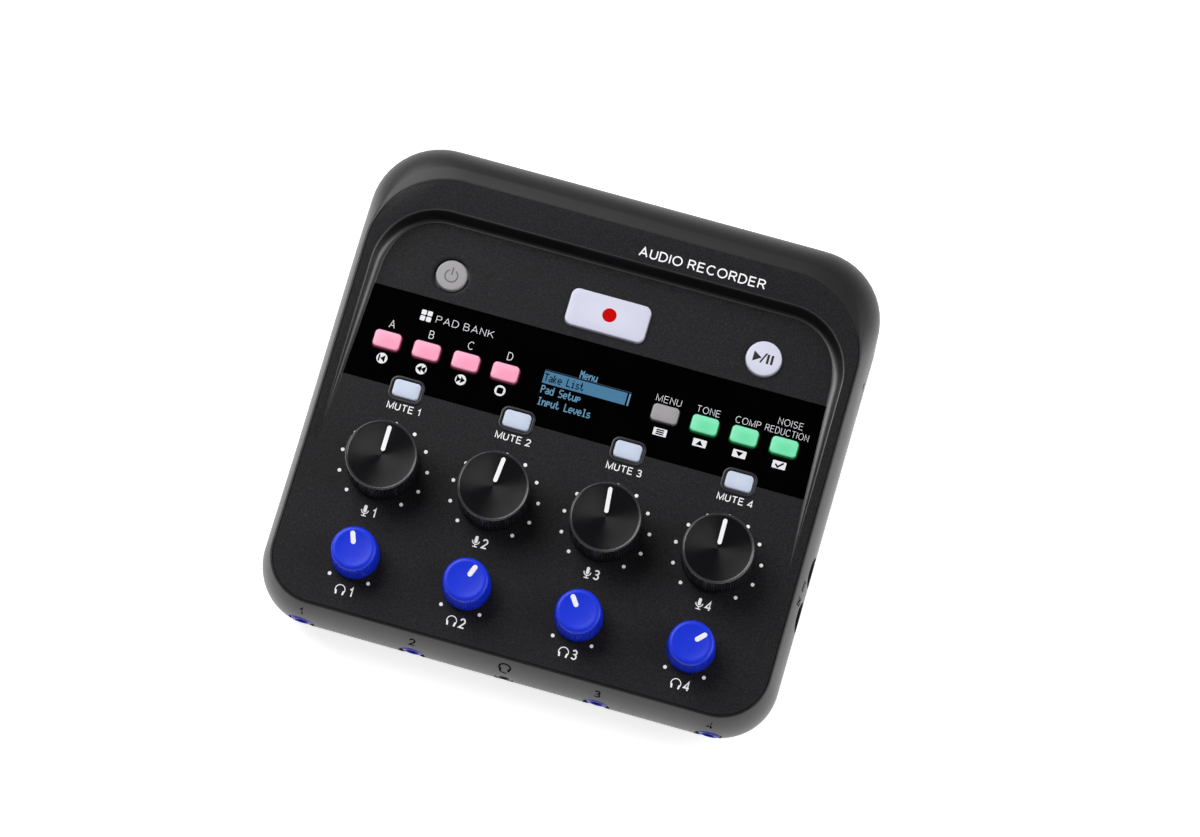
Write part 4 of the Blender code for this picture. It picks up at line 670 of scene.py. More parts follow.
def caseSolid(steps):
    # The outer shape of the case down to the seam. Slot 0 is the grained deck, slot 1 the smooth
    # walls, slot 2 the fine dark groove between them and slot 3 the wall inside the rim.
    c = caseShape
    form = bmesh.new()
    plan = casePlan(steps["corner"])
    rings = [[form.verts.new(place) for place in ring] for ring in wallRings(plan, steps)]
    rightEnd = steps["corner"] + 1
    leftEnd = rightEnd + 2 * (steps["corner"] + 1) + 1
    ends = []
    for sign in (1, -1):
        ends.append(form.verts.new((sign * c["rimHalfWidth"], c["rimStart"], deckHeight(c["rimStart"]))))
    columns = [[form.verts.new(place) for place in column] for column in rimColumns(steps)]
    outer = [column[0] for column in columns]
    inner = [column[-1] for column in columns]
    top = rings[0]
    band = form.faces.new(top[rightEnd:leftEnd + 1] + [ends[1]] + outer[::-1] + [ends[0]])
    deck = form.faces.new(top[leftEnd:] + top[:rightEnd + 1] + [ends[0]] + inner + [ends[1]])
    walls = []
    rim = []
    for first, second in zip(columns, columns[1:]):
        for k in range(len(first) - 1):
            rim.append(form.faces.new((first[k], first[k + 1], second[k + 1], second[k])))
    for end, column in ((ends[0], columns[0]), (ends[1], columns[-1])):
        for k in range(len(column) - 1):
            rim.append(form.faces.new((end, column[k], column[k + 1])))
    groove = []
    for index, (upper, lower) in enumerate(zip(rings, rings[1:])):
        for k in range(len(upper)):
            n = (k + 1) % len(upper)
            face = form.faces.new((upper[k], upper[n], lower[n], lower[k]))
            dark = index < 2 and backness(plan[k][1]) < 0.3
            (groove if dark else walls).append(face)
    walls.append(form.faces.new(rings[-1]))
    for face in walls:
        face.material_index = 1
    for face in groove:
        face.material_index = 2
    for face in rim:
        face.material_index = 3
    band.material_index = 0
    deck.material_index = 0
    bmesh.ops.recalc_face_normals(form, faces=form.faces)
    return form


def referenceSurface():
    # The uncut case, with normals weighted towards its large faces, to shade the cut pieces by.
    item = linkObject("reference", caseSolid(caseSteps), [], 50)
    step = item.modifiers.new("weigh", "WEIGHTED_NORMAL")
    step.keep_sharp = True
    settle(item)
    mesh = item.data
    corners = [Vector(entry.vector) for entry in mesh.corner_normals]
    faces = []
    for face in mesh.polygons:
        faces.append(([mesh.vertices[v].co.copy() for v in face.vertices],
                      [corners[k] for k in face.loop_indices], Vector(face.normal)))
    tree = BVHTree.FromPolygons([v.co for v in mesh.vertices], [tuple(f.vertices) for f in mesh.polygons])
    bpy.data.objects.remove(item, do_unlink=True)
    return tree, faces


def shadeLike(item, reference):
    # Gives what is left of the uncut case its smooth normals; what was cut keeps its own.
    tree, faces = reference
    mesh = item.data
    smooth(mesh)
    normals = [Vector(entry.vector) for entry in mesh.corner_normals]
    for face in mesh.polygons:
        spot, normal, index, distance = tree.find_nearest(face.center)
        if distance is None or distance > 0.03 * mm:
            continue
        points, corners, flat = faces[index]
        if flat.dot(face.normal) < 0.98:
            continue
        for k, v in zip(face.loop_indices, face.vertices):
            if len(points) > 4:
                normals[k] = flat
                continue
            weights = poly_3d_calc(points, mesh.vertices[v].co)
            normals[k] = sum((corner * weight for corner, weight in zip(corners, weights)), Vector()).normalized()
    mesh.normals_split_custom_set(normals)


def cavitySolid():
    # What the top cover leaves free inside.
    c = caseShape
    plan = casePlan(8)
    behind = bayShape["face"] - c["wall"]
    under = []
    shoulder = []
    for point, normal in plan:
        share = backness(normal)
        place = point + normal * (share * (c["backRound"] - 2 * c["wall"]) - (1 - share) * c["wall"])
        place.y = min(place.y, behind)
        place.z = deckHeight(place.y) - c["deckThickness"]
        under.append(place)
        place = point + normal * widestReach(normal, c["wall"])
        place.y = min(place.y, behind)
        place.z = topHeight(point.y) - c["shoulderDrop"]
        shoulder.append(place)
    rings = [under, shoulder]
    heights = ((0.0, c["seam"] + c["lowerRadius"] * math.sin(lowerAngle)), (seamInset(), c["seam"]),
               (seamInset(), c["seam"] - 1 * mm))
    for inset, height in heights:
        ring = wallRing(plan, inset + c["wall"], height)
        for place in ring:
            place.y = min(place.y, behind)
        rings.append(ring)
    form = bmesh.new()
    addLoft(form, rings)
    return form


# Places on the deck and in the walls

rowShape = inMetres({
    "pitch": 35.0, "phones": -29.25, "keyWidth": 8.6, "keyDepth": 5.7, "keyRadius": 1.4, "keyPitch": 12.5,
    "padOuter": 62.7, "padRow": 37.9, "menuRow": 38.6, "muteRow": 24.4, "muteSurround": 1.1,
    "powerX": -49.6, "powerY": 63.0, "powerRadius": 4.9, "powerTop": 0.5, "dishRadius": 6.3, "dishDepth": 0.4,
    "recordX": 0.45, "recordY": 63.8, "recordWidth": 25.5, "recordDepth": 12.2, "recordRadius": 2.5,
    "playX": 49.4, "playY": 63.6, "playRadius": 5.65, "stripFront": 24.6, "stripBack": 54.4, "stripThickness": 1.2,
})
bayShape = inMetres({"face": 74.6, "halfWidth": 66.5, "low": 8.8, "high": 33.6, "radius": 4.0, "centre": 21.2,
                     "socketRadius": 10.3, "flangeRadius": 11.9})
jackShape = inMetres({"face": -50.78, "outer": 64.0, "inner": 29.0, "drop": 12.4, "collar": 3.8, "collarBack": -46.78,
                      "collarHole": 4.25, "nose": 2.7, "bodyFront": -41.38, "bodyBack": -32.18, "width": 7.4, "height": 6.0})
portShape = inMetres({"face": 79.6, "backY": 5.5, "frontY": -9.0, "width": 8.9, "height": 3.2, "drop": 11.0,
                      "bayWidth": 9.8, "bayHigh": 5.6, "bayLow": 14.2, "bayRadius": 4.2})
cardShape = inMetres({"y": 66.7, "length": 17.8, "height": 8.4, "drop": 10.0, "inner": 79.3, "radius": 1.5,
                      "slotLength": 12.0, "slotHeight": 1.4, "slotDrop": 10.35})
channelXs = [rowShape["pitch"] * (k - 1.5) for k in range(4)]
jackXs = (-jackShape["outer"], -jackShape["inner"], jackShape["inner"], jackShape["outer"])


def keyPlaces():
    r = rowShape
    places = {}
    for k, letter in enumerate("abcd"):
        places[f"pad_key_{letter}"] = (-r["padOuter"] + r["keyPitch"] * k, r["padRow"])
    for k, name in enumerate(("menu_key", "tone_key", "comp_key", "noise_key")):
        places[name] = (r["padOuter"] - r["keyPitch"] * (3 - k), r["menuRow"])
    for k in range(4):
        places[f"mute_key_{k + 1}"] = (channelXs[k], r["muteRow"])
    return places


def keyOutline(grow, centre=(0.0, 0.0)):
    r = rowShape
    return roundedBox(r["keyWidth"] + 2 * grow, r["keyDepth"] + 2 * grow, max(r["keyRadius"] + grow, 0.2 * mm), 6, centre)


def recordOutline(grow, centre=(0.0, 0.0)):
    r = rowShape
    radius = max(r["recordRadius"] + grow, 0.2 * mm)
    return roundedBox(r["recordWidth"] + 2 * grow, r["recordDepth"] + 2 * grow, radius, 8, centre)


def discOutline(radius):
    return lambda grow, centre=(0.0, 0.0): circle(radius + grow, 64, centre)


def stripOutline(grow):
    c = caseShape
    r = rowShape
    ends = []
    for y in (r["stripFront"], r["stripBack"]):
        ends.append(c["rimHalfWidth"] - rimDraft["side"] * rimRise(deckPlace["y"] + y) - 2 * c["gap"] + grow)
    return [(-ends[0], r["stripFront"] - grow), (ends[0], r["stripFront"] - grow),
            (ends[1], r["stripBack"] + grow), (-ends[1], r["stripBack"] + grow)]


def jackFrame(x):
    # Z points out of the front wall, Y up across the deck.
    return deckFrame @ Matrix.Translation((x, 0, -jackShape["drop"])) @ Matrix.Rotation(math.radians(90), 4, "X")


def wallFrame(y, drop):
    # Z points out of the right wall, X runs to the back along the deck, Y up.
    axes = Matrix(((0, 0, 1), (1, 0, 0), (0, 1, 0))).to_4x4()
    return deckFrame @ Matrix.Translation((0, y, -drop)) @ axes


def socketFrame(x):
    return Matrix.Translation((x, 0, bayShape["centre"])) @ backFrame


def cardBlock(grow):
    k = cardShape
    outline = roundedBox(k["length"] + 2 * grow, k["height"] + 2 * grow, k["radius"] + grow, 6)
    return prismCutter(outline, k["inner"] - grow, caseShape["halfWidth"] + caseShape["sideBulge"] + 1 * mm + grow,
                       wallFrame(k["y"], k["drop"]), 1)


def makeTopCover(reference):
    c = caseShape
    r = rowShape
    gap = c["gap"]
    cover = linkObject("topCoverSkin", caseSolid(caseSteps), [deckPlastic, wallPlastic, innerPlastic, rimPlastic])
    cavity = cutter(cavitySolid())
    combine(cover, cavity)
    seat = roundedBox(cardShape["length"] + 4 * mm, cardShape["height"] + 4 * mm, 2 * mm, 4)
    combine(cover, prismCutter(seat, cardShape["inner"] - 2.4 * mm, c["halfWidth"] + c["sideBulge"] - 1.1 * mm,
                               wallFrame(cardShape["y"], cardShape["drop"])), "UNION")
    pocket = prismCutter(stripOutline(gap / 3), -r["stripThickness"] - gap, 1 * mm, deckFrame)
    surrounds = bmesh.new()
    for k in range(4):
        addPrism(surrounds, keyOutline(r["muteSurround"], (channelXs[k], r["muteRow"])), -2.5 * mm, 2 * mm, deckFrame)
    combine(pocket, cutter(surrounds))
    settle(pocket)
    combine(cover, pocket)
    holes = bmesh.new()
    for x in channelXs:
        for y in (0.0, r["phones"]):
            addPrism(holes, circle(3.6 * mm, 32, (x, y)), -4 * mm, 2 * mm, deckFrame)
    for name, place in keyPlaces().items():
        addPrism(holes, keyOutline(gap * 0.6, place), -4 * mm, 2 * mm, deckFrame)
    addPrism(holes, circle(r["powerRadius"] + gap * 1.9, 64, (r["powerX"], r["powerY"])), -4 * mm, 2 * mm, deckFrame)
    addPrism(holes, circle(r["playRadius"] + gap * 0.6, 64, (r["playX"], r["playY"])), -4 * mm, 2 * mm, deckFrame)
    addPrism(holes, recordOutline(gap * 0.6, (0.0, r["recordY"])), -4 * mm, 2 * mm, deckFrame)
    combine(cover, cutter(holes))
    dish = bmesh.new()
    slope = (r["dishRadius"] - r["powerRadius"]) / r["dishDepth"]
    profile = ((r["powerRadius"], -r["dishDepth"]), (r["powerRadius"] + (r["dishDepth"] + 1 * mm) * slope, 1 * mm))
    addTurned(dish, profile, 64, deckFrame @ Matrix.Translation((r["powerX"], r["powerY"], 0)))
    combine(cover, cutter(dish, 0))
    b = bayShape
    bay = roundedBox(2 * b["halfWidth"], b["high"] - b["low"], b["radius"], 8)
    middle = Matrix.Translation((0, 0, (b["high"] + b["low"]) / 2)) @ backFrame
    combine(cover, prismCutter(bay, b["face"], c["back"] + c["backRound"] + 1 * mm, middle, 1))
    rounds = bmesh.new()
    for x in channelXs:
        addPrism(rounds, circle(b["socketRadius"] + gap, 64), b["face"] - 2 * c["wall"], b["face"] + 1 * mm, socketFrame(x))
    for x in (*jackXs, 0.0):
        hole = jackShape["collarHole"] if x else jackShape["nose"] + gap * 0.8
        addPrism(rounds, circle(hole, 56), -jackShape["bodyFront"] - 1 * mm, -jackShape["face"] + 4 * mm, jackFrame(x))
    combine(cover, cutter(rounds))
    bays = bmesh.new()
    slots = bmesh.new()
    p = portShape
    for y in (p["backY"], p["frontY"]):
        outline = roundedBox(p["bayWidth"], p["bayLow"] - p["bayHigh"], p["bayRadius"], 10)
        addPrism(bays, outline, p["face"], p["face"] + 4 * mm, wallFrame(y, (p["bayHigh"] + p["bayLow"]) / 2))
        outline = roundedBox(p["width"] + 2 * gap, p["height"] + 2 * gap, p["height"] / 2 + gap, 10)
        addPrism(slots, outline, p["face"] - 4.2 * mm, p["face"] + 2 * mm, wallFrame(y, p["drop"]))
    combine(cover, cutter(bays))
    combine(cover, cutter(slots))
    combine(cover, cardBlock(gap * 1.1))
    marks = bmesh.new()
    slot = roundedBox(cardShape["slotLength"], cardShape["slotHeight"], 0.3 * mm, 3)
    addPrism(marks, slot, cardShape["inner"] - 3.4 * mm, cardShape["inner"], wallFrame(cardShape["y"], cardShape["slotDrop"]))
    notch = circle(1.4 * mm, 24, (-1.8 * mm, cardShape["height"] / 2 + gap))
    outside = c["halfWidth"] + c["sideBulge"]
    addPrism(marks, notch, outside - 0.9 * mm, outside + 1.1 * mm, wallFrame(cardShape["y"], cardShape["drop"]))
    combine(cover, cutter(marks))
    settle(cover)
    shadeLike(cover, reference)
    dress(cover, "case", "top_cover")
    print("top cover:", len(cover.data.polygons), "faces")


def makeCardCover(reference):
    cover = linkObject("cardCoverSkin", caseSolid(caseSteps), [basePlastic] * 4)
    combine(cover, cardBlock(0.0), "INTERSECT")
    settle(cover)
    shadeLike(cover, reference)
    dress(cover, "card_cover", "card_cover")


reference = referenceSurface()
makeTopCover(reference)
makeCardCover(reference)


def makeBaseCover():
    c = caseShape
    gap = c["gap"]
    plan = casePlan(caseSteps["corner"])
    slope = math.tan(lowerAngle)
    top = c["seam"] - gap
    outer = seamInset() + gap * slope
    bottom = outer + (top - c["footHeight"]) * slope
    lip = seamInset() + c["wall"] + gap
    rings = [
        wallRing(plan, bottom + 0.8 * mm, c["footHeight"]),
        wallRing(plan, bottom - 0.1 * mm, c["footHeight"] + 0.15 * mm),
        wallRing(plan, bottom - 0.7 * mm, c["footHeight"] + 0.5 * mm),
        wallRing(plan, outer, top),
        wallRing(plan, lip, top),
        wallRing(plan, lip, c["seam"] + c["lipHeight"]),
        wallRing(plan, lip + c["lipWall"], c["seam"] + c["lipHeight"]),
        wallRing(plan, lip + c["lipWall"], c["footHeight"] + c["floor"]),
    ]
    behind = bayShape["face"] - c["wall"] - gap
    for ring in rings[4:]:
        for place in ring:
            place.y = min(place.y, behind)
    form = bmesh.new()
    addLoft(form, rings)
    base = linkObject("baseCoverSkin", form, [basePlastic, basePlastic, innerPlastic])
    b = batteryShape
    box = boxOutline(b["bayHalfWidth"] + 1.5 * mm, b["y"], b["bayHalfDepth"] + 1.5 * mm)
    combine(base, prismCutter(box, 3.4 * mm, 21.1 * mm), "UNION")
    back = min(c["back"] + c["backRound"] - seamInset() - c["wall"] - gap - c["lipWall"], behind) + c["lipWall"] / 2
    wide = b["doorHalfWidth"] + b["rail"] + gap + 1.5 * mm
    floorOutline = [(-wide, b["doorFront"] - 1.5 * mm), (wide, b["doorFront"] - 1.5 * mm), (wide, back), (-wide, back)]
    combine(base, prismCutter(floorOutline, 3.4 * mm, b["doorTop"] + gap + 1.5 * mm), "UNION")
    combine(base, prismCutter(boxOutline(b["bayHalfWidth"], b["y"], b["bayHalfDepth"]), 1 * mm, 18.5 * mm))
    rails = (b["doorHalfWidth"] + b["rail"], 3.2 * mm - gap, b["doorTop"] + gap)
    for half, low, high in (rails, (b["doorHalfWidth"], 1 * mm, 3.2 * mm + gap)):
        side, front = half + gap, b["doorFront"] - gap
        outline = [(-side, front), (side, front), (side, 90 * mm), (-side, 90 * mm)]
        combine(base, prismCutter(outline, low, high))
    recesses = bmesh.new()
    for x, y in screwPlaces:
        profile = ((3.0 * mm, 1.0 * mm), (3.0 * mm, 3.6 * mm), (1.8 * mm, 3.6 * mm), (1.8 * mm, 5.4 * mm))
        addTurned(recesses, profile, 40, Matrix.Translation((x, y, 0)))
    for x, y in footPlaces:
        addPrism(recesses, circle(6.3 * mm, 48, (x, y)), 1 * mm, 2.5 * mm)
    combine(base, cutter(recesses))
    vents = bmesh.new()
    for sign in (-1, 1):
        for k in range(6):
            x = sign * (42 * mm + 3.2 * mm * k)
            addPrism(vents, roundedBox(1.2 * mm, 16 * mm, 0.58 * mm, 4, (x, -6 * mm)), 1 * mm, 2.7 * mm)
    combine(base, cutter(vents))
    settle(base)
    smooth(base.data, 24)
    dress(base, "case", "base_cover")
    print("base cover:", len(base.data.polygons), "faces")


def boxOutline(halfWidth, y, halfDepth):
    front, back = y - halfDepth, y + halfDepth
    return [(-halfWidth, front), (halfWidth, front), (halfWidth, back), (-halfWidth, back)]


batteryShape = inMetres({"y": 39.0, "bayHalfWidth": 27.2, "bayHalfDepth": 14.6, "doorHalfWidth": 28.7, "rail": 1.0,
                         "doorFront": 18.4, "doorTop": 4.2})
screwPlaces = scaled([(-62.0, -52.0), (62.0, -52.0), (-65.5, 53.5), (65.5, 53.5)])
footPlaces = scaled([(x, y) for x in (-48.0, 48.0) for y in (-56.0, 47.0)])
makeBaseCover()


# Feet and screws

def makeFeet():
    for k, (x, y) in enumerate(footPlaces):
        form = bmesh.new()
        profile = [(0.0, 0.0), (4.6, 0.0), (5.3, 0.12), (5.7, 0.4), (5.95, 0.9), (6.0, 1.4), (6.0, 2.2), (0.0, 2.2)]
        addTurned(form, scaled(profile), 56)
        addPiece(f"footPad_{k + 1}", form, [footRubber], "case",
                 Matrix.Translation((x, y, 0)), node=f"foot_{k + 1}")


def makeScrews():
    for k, (x, y) in enumerate(screwPlaces):
        form = bmesh.new()
        profile = [(0.0, 2.3), (2.3, 2.3), (2.62, 2.45), (2.7, 2.7), (2.7, 3.3), (1.5, 3.3), (1.5, 12.3), (0.0, 12.3)]
        addTurned(form, scaled(profile), 40)
        screw = linkObject(f"caseScrew_{k + 1}", form, [turnedSteel] * 3)
        for width, depth in ((2.9, 0.62), (0.62, 2.9)):  # the cross recess
            combine(screw, prismCutter(roundedBox(width * mm, depth * mm, 0.1 * mm, 2), 1 * mm, 3.0 * mm))
        settle(screw)
        smooth(screw.data)
        screw.matrix_world = Matrix.Translation((x, y, 0)) @ Matrix.Rotation(0.4 + 0.9 * k, 4, "Z")
        dress(screw, "case", f"case_screw_{k + 1}")


makeFeet()
makeScrews()


# Display strip and the raised edges round the mute keys

def makeStrip():
    r = rowShape
    form = bmesh.new()
    addPrism(form, stripOutline(-0.05 * mm), -r["stripThickness"], 0.0, deckFrame)
    strip = linkObject("displayStripSheet", form, [stripGloss] * 3)
    holes = bmesh.new()
    for name, place in keyPlaces().items():
        grow = r["muteSurround"] if name.startswith("mute") else 0.25 * mm
        addPrism(holes, keyOutline(grow + 0.05 * mm, place), -3 * mm, 1 * mm, deckFrame)
    combine(strip, cutter(holes))
    settle(strip)
    smooth(strip.data)
    dress(strip, "case", "display_strip")


def makeMuteSurrounds():
    # The raised dark edge round each mute key.
    r = rowShape
    levels = ((1.1, -0.6), (1.1, 0.12), (1.02, 0.26), (0.88, 0.33), (0.42, 0.33), (0.3, 0.28), (0.24, 0.16), (0.24, -0.6))
    for k in range(4):
        form = bmesh.new()
        rings = []
        for grow, height in levels:
            rings.append([Vector((x, y, height * mm)) for x, y in keyOutline(grow * mm)])
        addLoft(form, rings, closed=True)
        place = deckFrame @ Matrix.Translation((channelXs[k], r["muteRow"], 0))
        addPiece(f"muteSurround_{k + 1}", form, [surroundPlastic], "case", place)


makeStrip()
makeMuteSurrounds()


# Key caps

def makeCap(name, node, place, outlineAt, material, crown=0.1, edge=0.4, top=1.2, draft=0.18):
    # A cap that rises through the deck, with a soft edge and a slightly crowned face.
    levels = [(0.8, -3.8), (0.8, -2.8), (0.0, -2.8), (0.0, -0.2), (-draft, top - edge - crown)]
    for k in range(1, 6):
        turn = math.pi / 2 * k / 5
        levels.append((-draft - edge * (1 - math.cos(turn)), top - crown - edge * (1 - math.sin(turn))))
    for k in range(1, 7):
        share = k / 7
        inset = (rowShape["keyDepth"] / mm / 2 - draft - edge - 0.4) * share
        levels.append((-draft - edge - inset, top - crown * (1 - share) ** 2))
    form = bmesh.new()
    rings = []
    for grow, height in levels:
        rings.append([Vector((x, y, height * mm)) for x, y in outlineAt(grow * mm)])
    addLoft(form, rings)
    addPiece(name, form, [material], node, deckFrame @ Matrix.Translation((*place, 0)), 40, node)


def makeKeys():
    looks = {"pad": (padPink, "key_pink"), "menu": (menuGrey, "key_grey"), "mute": (keyMute, "key_mute")}
    for name, place in keyPlaces().items():
        material, slot = looks.get(name.split("_")[0], (keyGreen, "key_green"))
        makeCap(f"{name}_cap", name, place, keyOutline, material)
    r = rowShape
    play = (r["playX"], r["playY"])
    power = (r["powerX"], r["powerY"])
    makeCap("record_cap", "record_button", (0.0, r["recordY"]), recordOutline, keyWhite)
    makeCap("play_cap", "play_button", play, discOutline(r["playRadius"]), keyWhite)
    makeCap("power_cap", "power_button", power, discOutline(r["powerRadius"]), powerGrey,
            edge=0.3, crown=0.05, top=r["powerTop"] / mm)


makeKeys()
print("keys made")


# Knobs

micKnob = {"radius": 11.1, "crown": 10.9, "foot": 0.6, "top": 13.9, "ribs": 84, "ribDepth": 0.32,
           "rest": (0, 5, -6, -1), "pointer": (1.2, 9.3, 1.3)}
phoneKnob = {"radius": 7.5, "crown": 6.9, "foot": 0.6, "top": 10.8, "ribs": 60, "ribDepth": 0.24,
             "rest": (-20, 21, -36, 45), "pointer": (1.3, 5.35, 1.5)}
ribShares = (0.0, 0.0, 0.55, 1.0, 1.0, 0.55)


def ribbedForm(profile, ribs, depth):
    # Rings from (radius, height, rib share, slot); the ribs run up the side and fade out.
    form = bmesh.new()
    rings = []
    count = ribs * len(ribShares)
    for radius, height, share, _ in profile:
        ring = []
        for k in range(count):
            turn = math.tau * k / count
            reach = radius - depth * share * ribShares[k % len(ribShares)]
            ring.append(Vector((reach * math.cos(turn), reach * math.sin(turn), height)) * mm)
        rings.append(ring)
    addLoft(form, rings, slots=[entry[3] for entry in profile[1:]])
    return form


def makePointer(name, body, place, pointer, heightAt):
    # A white inlay that follows the top of the knob.
    start, end, width = pointer
    form = bmesh.new()
    outline = capsule(start, end, width)
    half = len(outline) // 2
    rings = []
    for lift in (-0.25, 0.0, 0.03):
        grow = -0.04 if lift > 0 else 0.0
        ring = []
        for x, y in outline:
            x *= 1 + 2 * grow / width
            ring.append(Vector((x, y, heightAt(math.hypot(x, y)) + lift)) * mm)
        rings.append(ring)
    rows = [[form.verts.new(point) for point in ring] for ring in rings]
    for lower, upper in zip(rows, rows[1:]):
        for k in range(len(outline)):
            n = (k + 1) % len(outline)
            form.faces.new((lower[k], lower[n], upper[n], upper[k]))
    for row in (rows[0], rows[-1]):
        # Strips across the bar, so that it bends with the top.
        right = row[:half]
        left = row[half:][::-1]
        for k in range(half - 1):
            form.faces.new((right[k], right[k + 1], left[k + 1], left[k]))
    addPiece(name, form, [pointerWhite], body, place)


def knobFrame(x, y, angle):
    return deckFrame @ Matrix.Translation((x, y, 0)) @ Matrix.Rotation(-math.radians(angle), 4, "Z")


def makeMicKnobs():
    k = micKnob
    radius, crown, top = k["radius"], k["crown"], k["top"] - 0.16
    profile = [
        (radius - 1.2, k["foot"] + 1.6, 0, 0), (radius - 1.2, k["foot"], 0, 0), (radius - 0.35, k["foot"], 0, 0),
        (radius - 0.1, k["foot"] + 0.2, 0.6, 0), (radius, k["foot"] + 0.5, 1, 0), (crown + 0.03, top - 1.9, 1, 0),
        (crown + 0.01, top - 1.6, 0.7, 0), (crown, top - 1.35, 0.0, 0), (crown, top - 0.62, 0, 0), (crown - 0.03, top - 0.5, 0, 1),
        (crown - 0.12, top - 0.28, 0, 1), (crown - 0.28, top - 0.08, 0, 1), (crown - 0.46, top, 0, 1),
        (crown - 0.6, top - 0.02, 0, 1), (crown - 0.72, top - 0.12, 0, 1), (crown - 0.84, top - 0.2, 0, 1),
        (crown - 1.0, top - 0.22, 0, 2), (6.0, top - 0.22, 0, 2), (1.2, top - 0.22, 0, 2), (0.5, top - 0.24, 0, 2),
    ]
    for n, x in enumerate(channelXs):
        place = knobFrame(x, 0.0, k["rest"][n])
        form = ribbedForm(profile, k["ribs"], k["ribDepth"])
        body = f"mic_dial_{n + 1}"
        addPiece(f"micKnobCap_{n + 1}", form, [knobSidePlastic, knobRimPlastic, knobTop], body,
                 place, node=f"mic_knob_{n + 1}")
        makePointer(f"micPointer_{n + 1}", body, place, k["pointer"], lambda r: top - 0.22)


def phoneTopHeight(radius):
    # A shallow dish inside a raised soft edge.
    share = min(radius / 5.4, 1.0)
    return phoneKnob["top"] - 0.3 * (1 - share ** 3)


def makePhoneKnobs():
    k = phoneKnob
    profile = [
        (k["radius"] - 1.0, k["foot"] + 1.4, 0, 0), (k["radius"] - 1.0, k["foot"], 0, 0), (k["radius"] - 0.25, k["foot"], 0.3, 0),
        (k["radius"], k["foot"] + 0.3, 1, 0), (k["crown"] + 0.12, k["top"] - 2.1, 1, 0), (k["crown"] + 0.04, k["top"] - 1.6, 0.7, 0),
        (k["crown"], k["top"] - 1.25, 0, 0),
    ]
    for step in range(1, 7):
        turn = math.pi / 2 * step / 6
        profile.append((k["crown"] - 1.15 * (1 - math.cos(turn)), k["top"] - 1.15 * (1 - math.sin(turn)), 0, 0))
    for radius in (5.4, 5.0, 4.4, 3.6, 2.4, 1.2, 0.4):
        profile.append((radius, phoneTopHeight(radius), 0, 0))
    for n, x in enumerate(channelXs):
        place = knobFrame(x, rowShape["phones"], k["rest"][n])
        form = ribbedForm(profile, k["ribs"], k["ribDepth"])
        body = f"headphone_dial_{n + 1}"
        addPiece(f"phoneKnobCap_{n + 1}", form, [bluePlastic], body, place, node=f"headphone_knob_{n + 1}")
        makePointer(f"phonePointer_{n + 1}", body, place, k["pointer"], phoneTopHeight)


makeMicKnobs()
makePhoneKnobs()
print("knobs made")


# Print: letters, dots and symbols, as thin flat solids

inkThickness = 0.03


# Plain capitals and figures, each a width and its pen paths, for a capital 1 high. A pair is a
# point; six numbers are an arc: its centre, its radii, and where it starts and ends in degrees.
letters = {
    "A": (0.68, [[(0, 0), (0.34, 1), (0.68, 0)], [(0.12, 0.33), (0.56, 0.33)]]),
    "B": (0.57, [[(0, 0), (0, 1), (0.3, 1), (0.3, 0.765, 0.21, 0.235, 90, -90), (0, 0.53)],
                 [(0.3, 0.53), (0.32, 0.265, 0.25, 0.265, 90, -90), (0, 0)]]),
    "C": (0.68, [[(0.37, 0.5, 0.37, 0.5, 46, 314)]]),
    "D": (0.63, [[(0, 0), (0, 1), (0.25, 1), (0.25, 0.5, 0.38, 0.5, 90, -90), (0, 0)]]),
    "E": (0.54, [[(0.52, 1), (0, 1), (0, 0), (0.54, 0)], [(0, 0.53), (0.48, 0.53)]]),
    "I": (0.0, [[(0, 0), (0, 1)]]),
    "K": (0.6, [[(0, 0), (0, 1)], [(0.56, 1), (0, 0.36)], [(0.2, 0.58), (0.6, 0)]]),
    "M": (0.74, [[(0, 0), (0, 1), (0.37, 0.04), (0.74, 1), (0.74, 0)]]),
    "N": (0.58, [[(0, 0), (0, 1), (0.58, 0), (0.58, 1)]]),
    "O": (0.78, [[(0.39, 0.5, 0.39, 0.5, 90, 450)]]),
    "P": (0.55, [[(0, 0), (0, 1), (0.3, 1), (0.3, 0.74, 0.25, 0.26, 90, -90), (0, 0.48)]]),
    "R": (0.58, [[(0, 0), (0, 1), (0.3, 1), (0.3, 0.75, 0.25, 0.25, 90, -90), (0, 0.5)], [(0.32, 0.5), (0.57, 0)]]),
    "S": (0.57, [[(0.28, 0.745, 0.26, 0.255, 28, 270), (0.29, 0.245, 0.28, 0.245, 90, -155)]]),
    "T": (0.6, [[(0, 1), (0.6, 1)], [(0.3, 1), (0.3, 0)]]),
    "U": (0.56, [[(0, 1), (0.28, 0.28, 0.28, 0.28, 180, 360), (0.56, 1)]]),
    "1": (0.26, [[(0.0, 0.77), (0.15, 0.81), (0.25, 1), (0.25, 0)]]),
    "2": (0.54, [[(0.27, 0.72, 0.25, 0.28, 168, -38), (0.0, 0.0), (0.54, 0.0)]]),
    "3": (0.53, [[(0.26, 0.76, 0.23, 0.24, 155, -90), (0.26, 0.26, 0.26, 0.26, 90, -155)]]),
    "4": (0.58, [[(0.43, 0), (0.43, 1), (0, 0.29), (0.58, 0.29)]]),
}
letterGap = 0.27
wordGap = 0.34


def penPath(items, steps=12):
    points = []
    for item in items:
        if len(item) == 2:
            points.append(Vector(item))
            continue
        x, y, radiusX, radiusY, start, end = item
        count = max(3, round(steps * abs(end - start) / 180))
        for k in range(count + 1):
            turn = math.radians(start + (end - start) * k / count)
            points.append(Vector((x + radiusX * math.cos(turn), y + radiusY * math.sin(turn))))
    kept = points[:1]
    for point in points[1:]:
        if (point - kept[-1]).length > 1e-4:
            kept.append(point)
    return kept


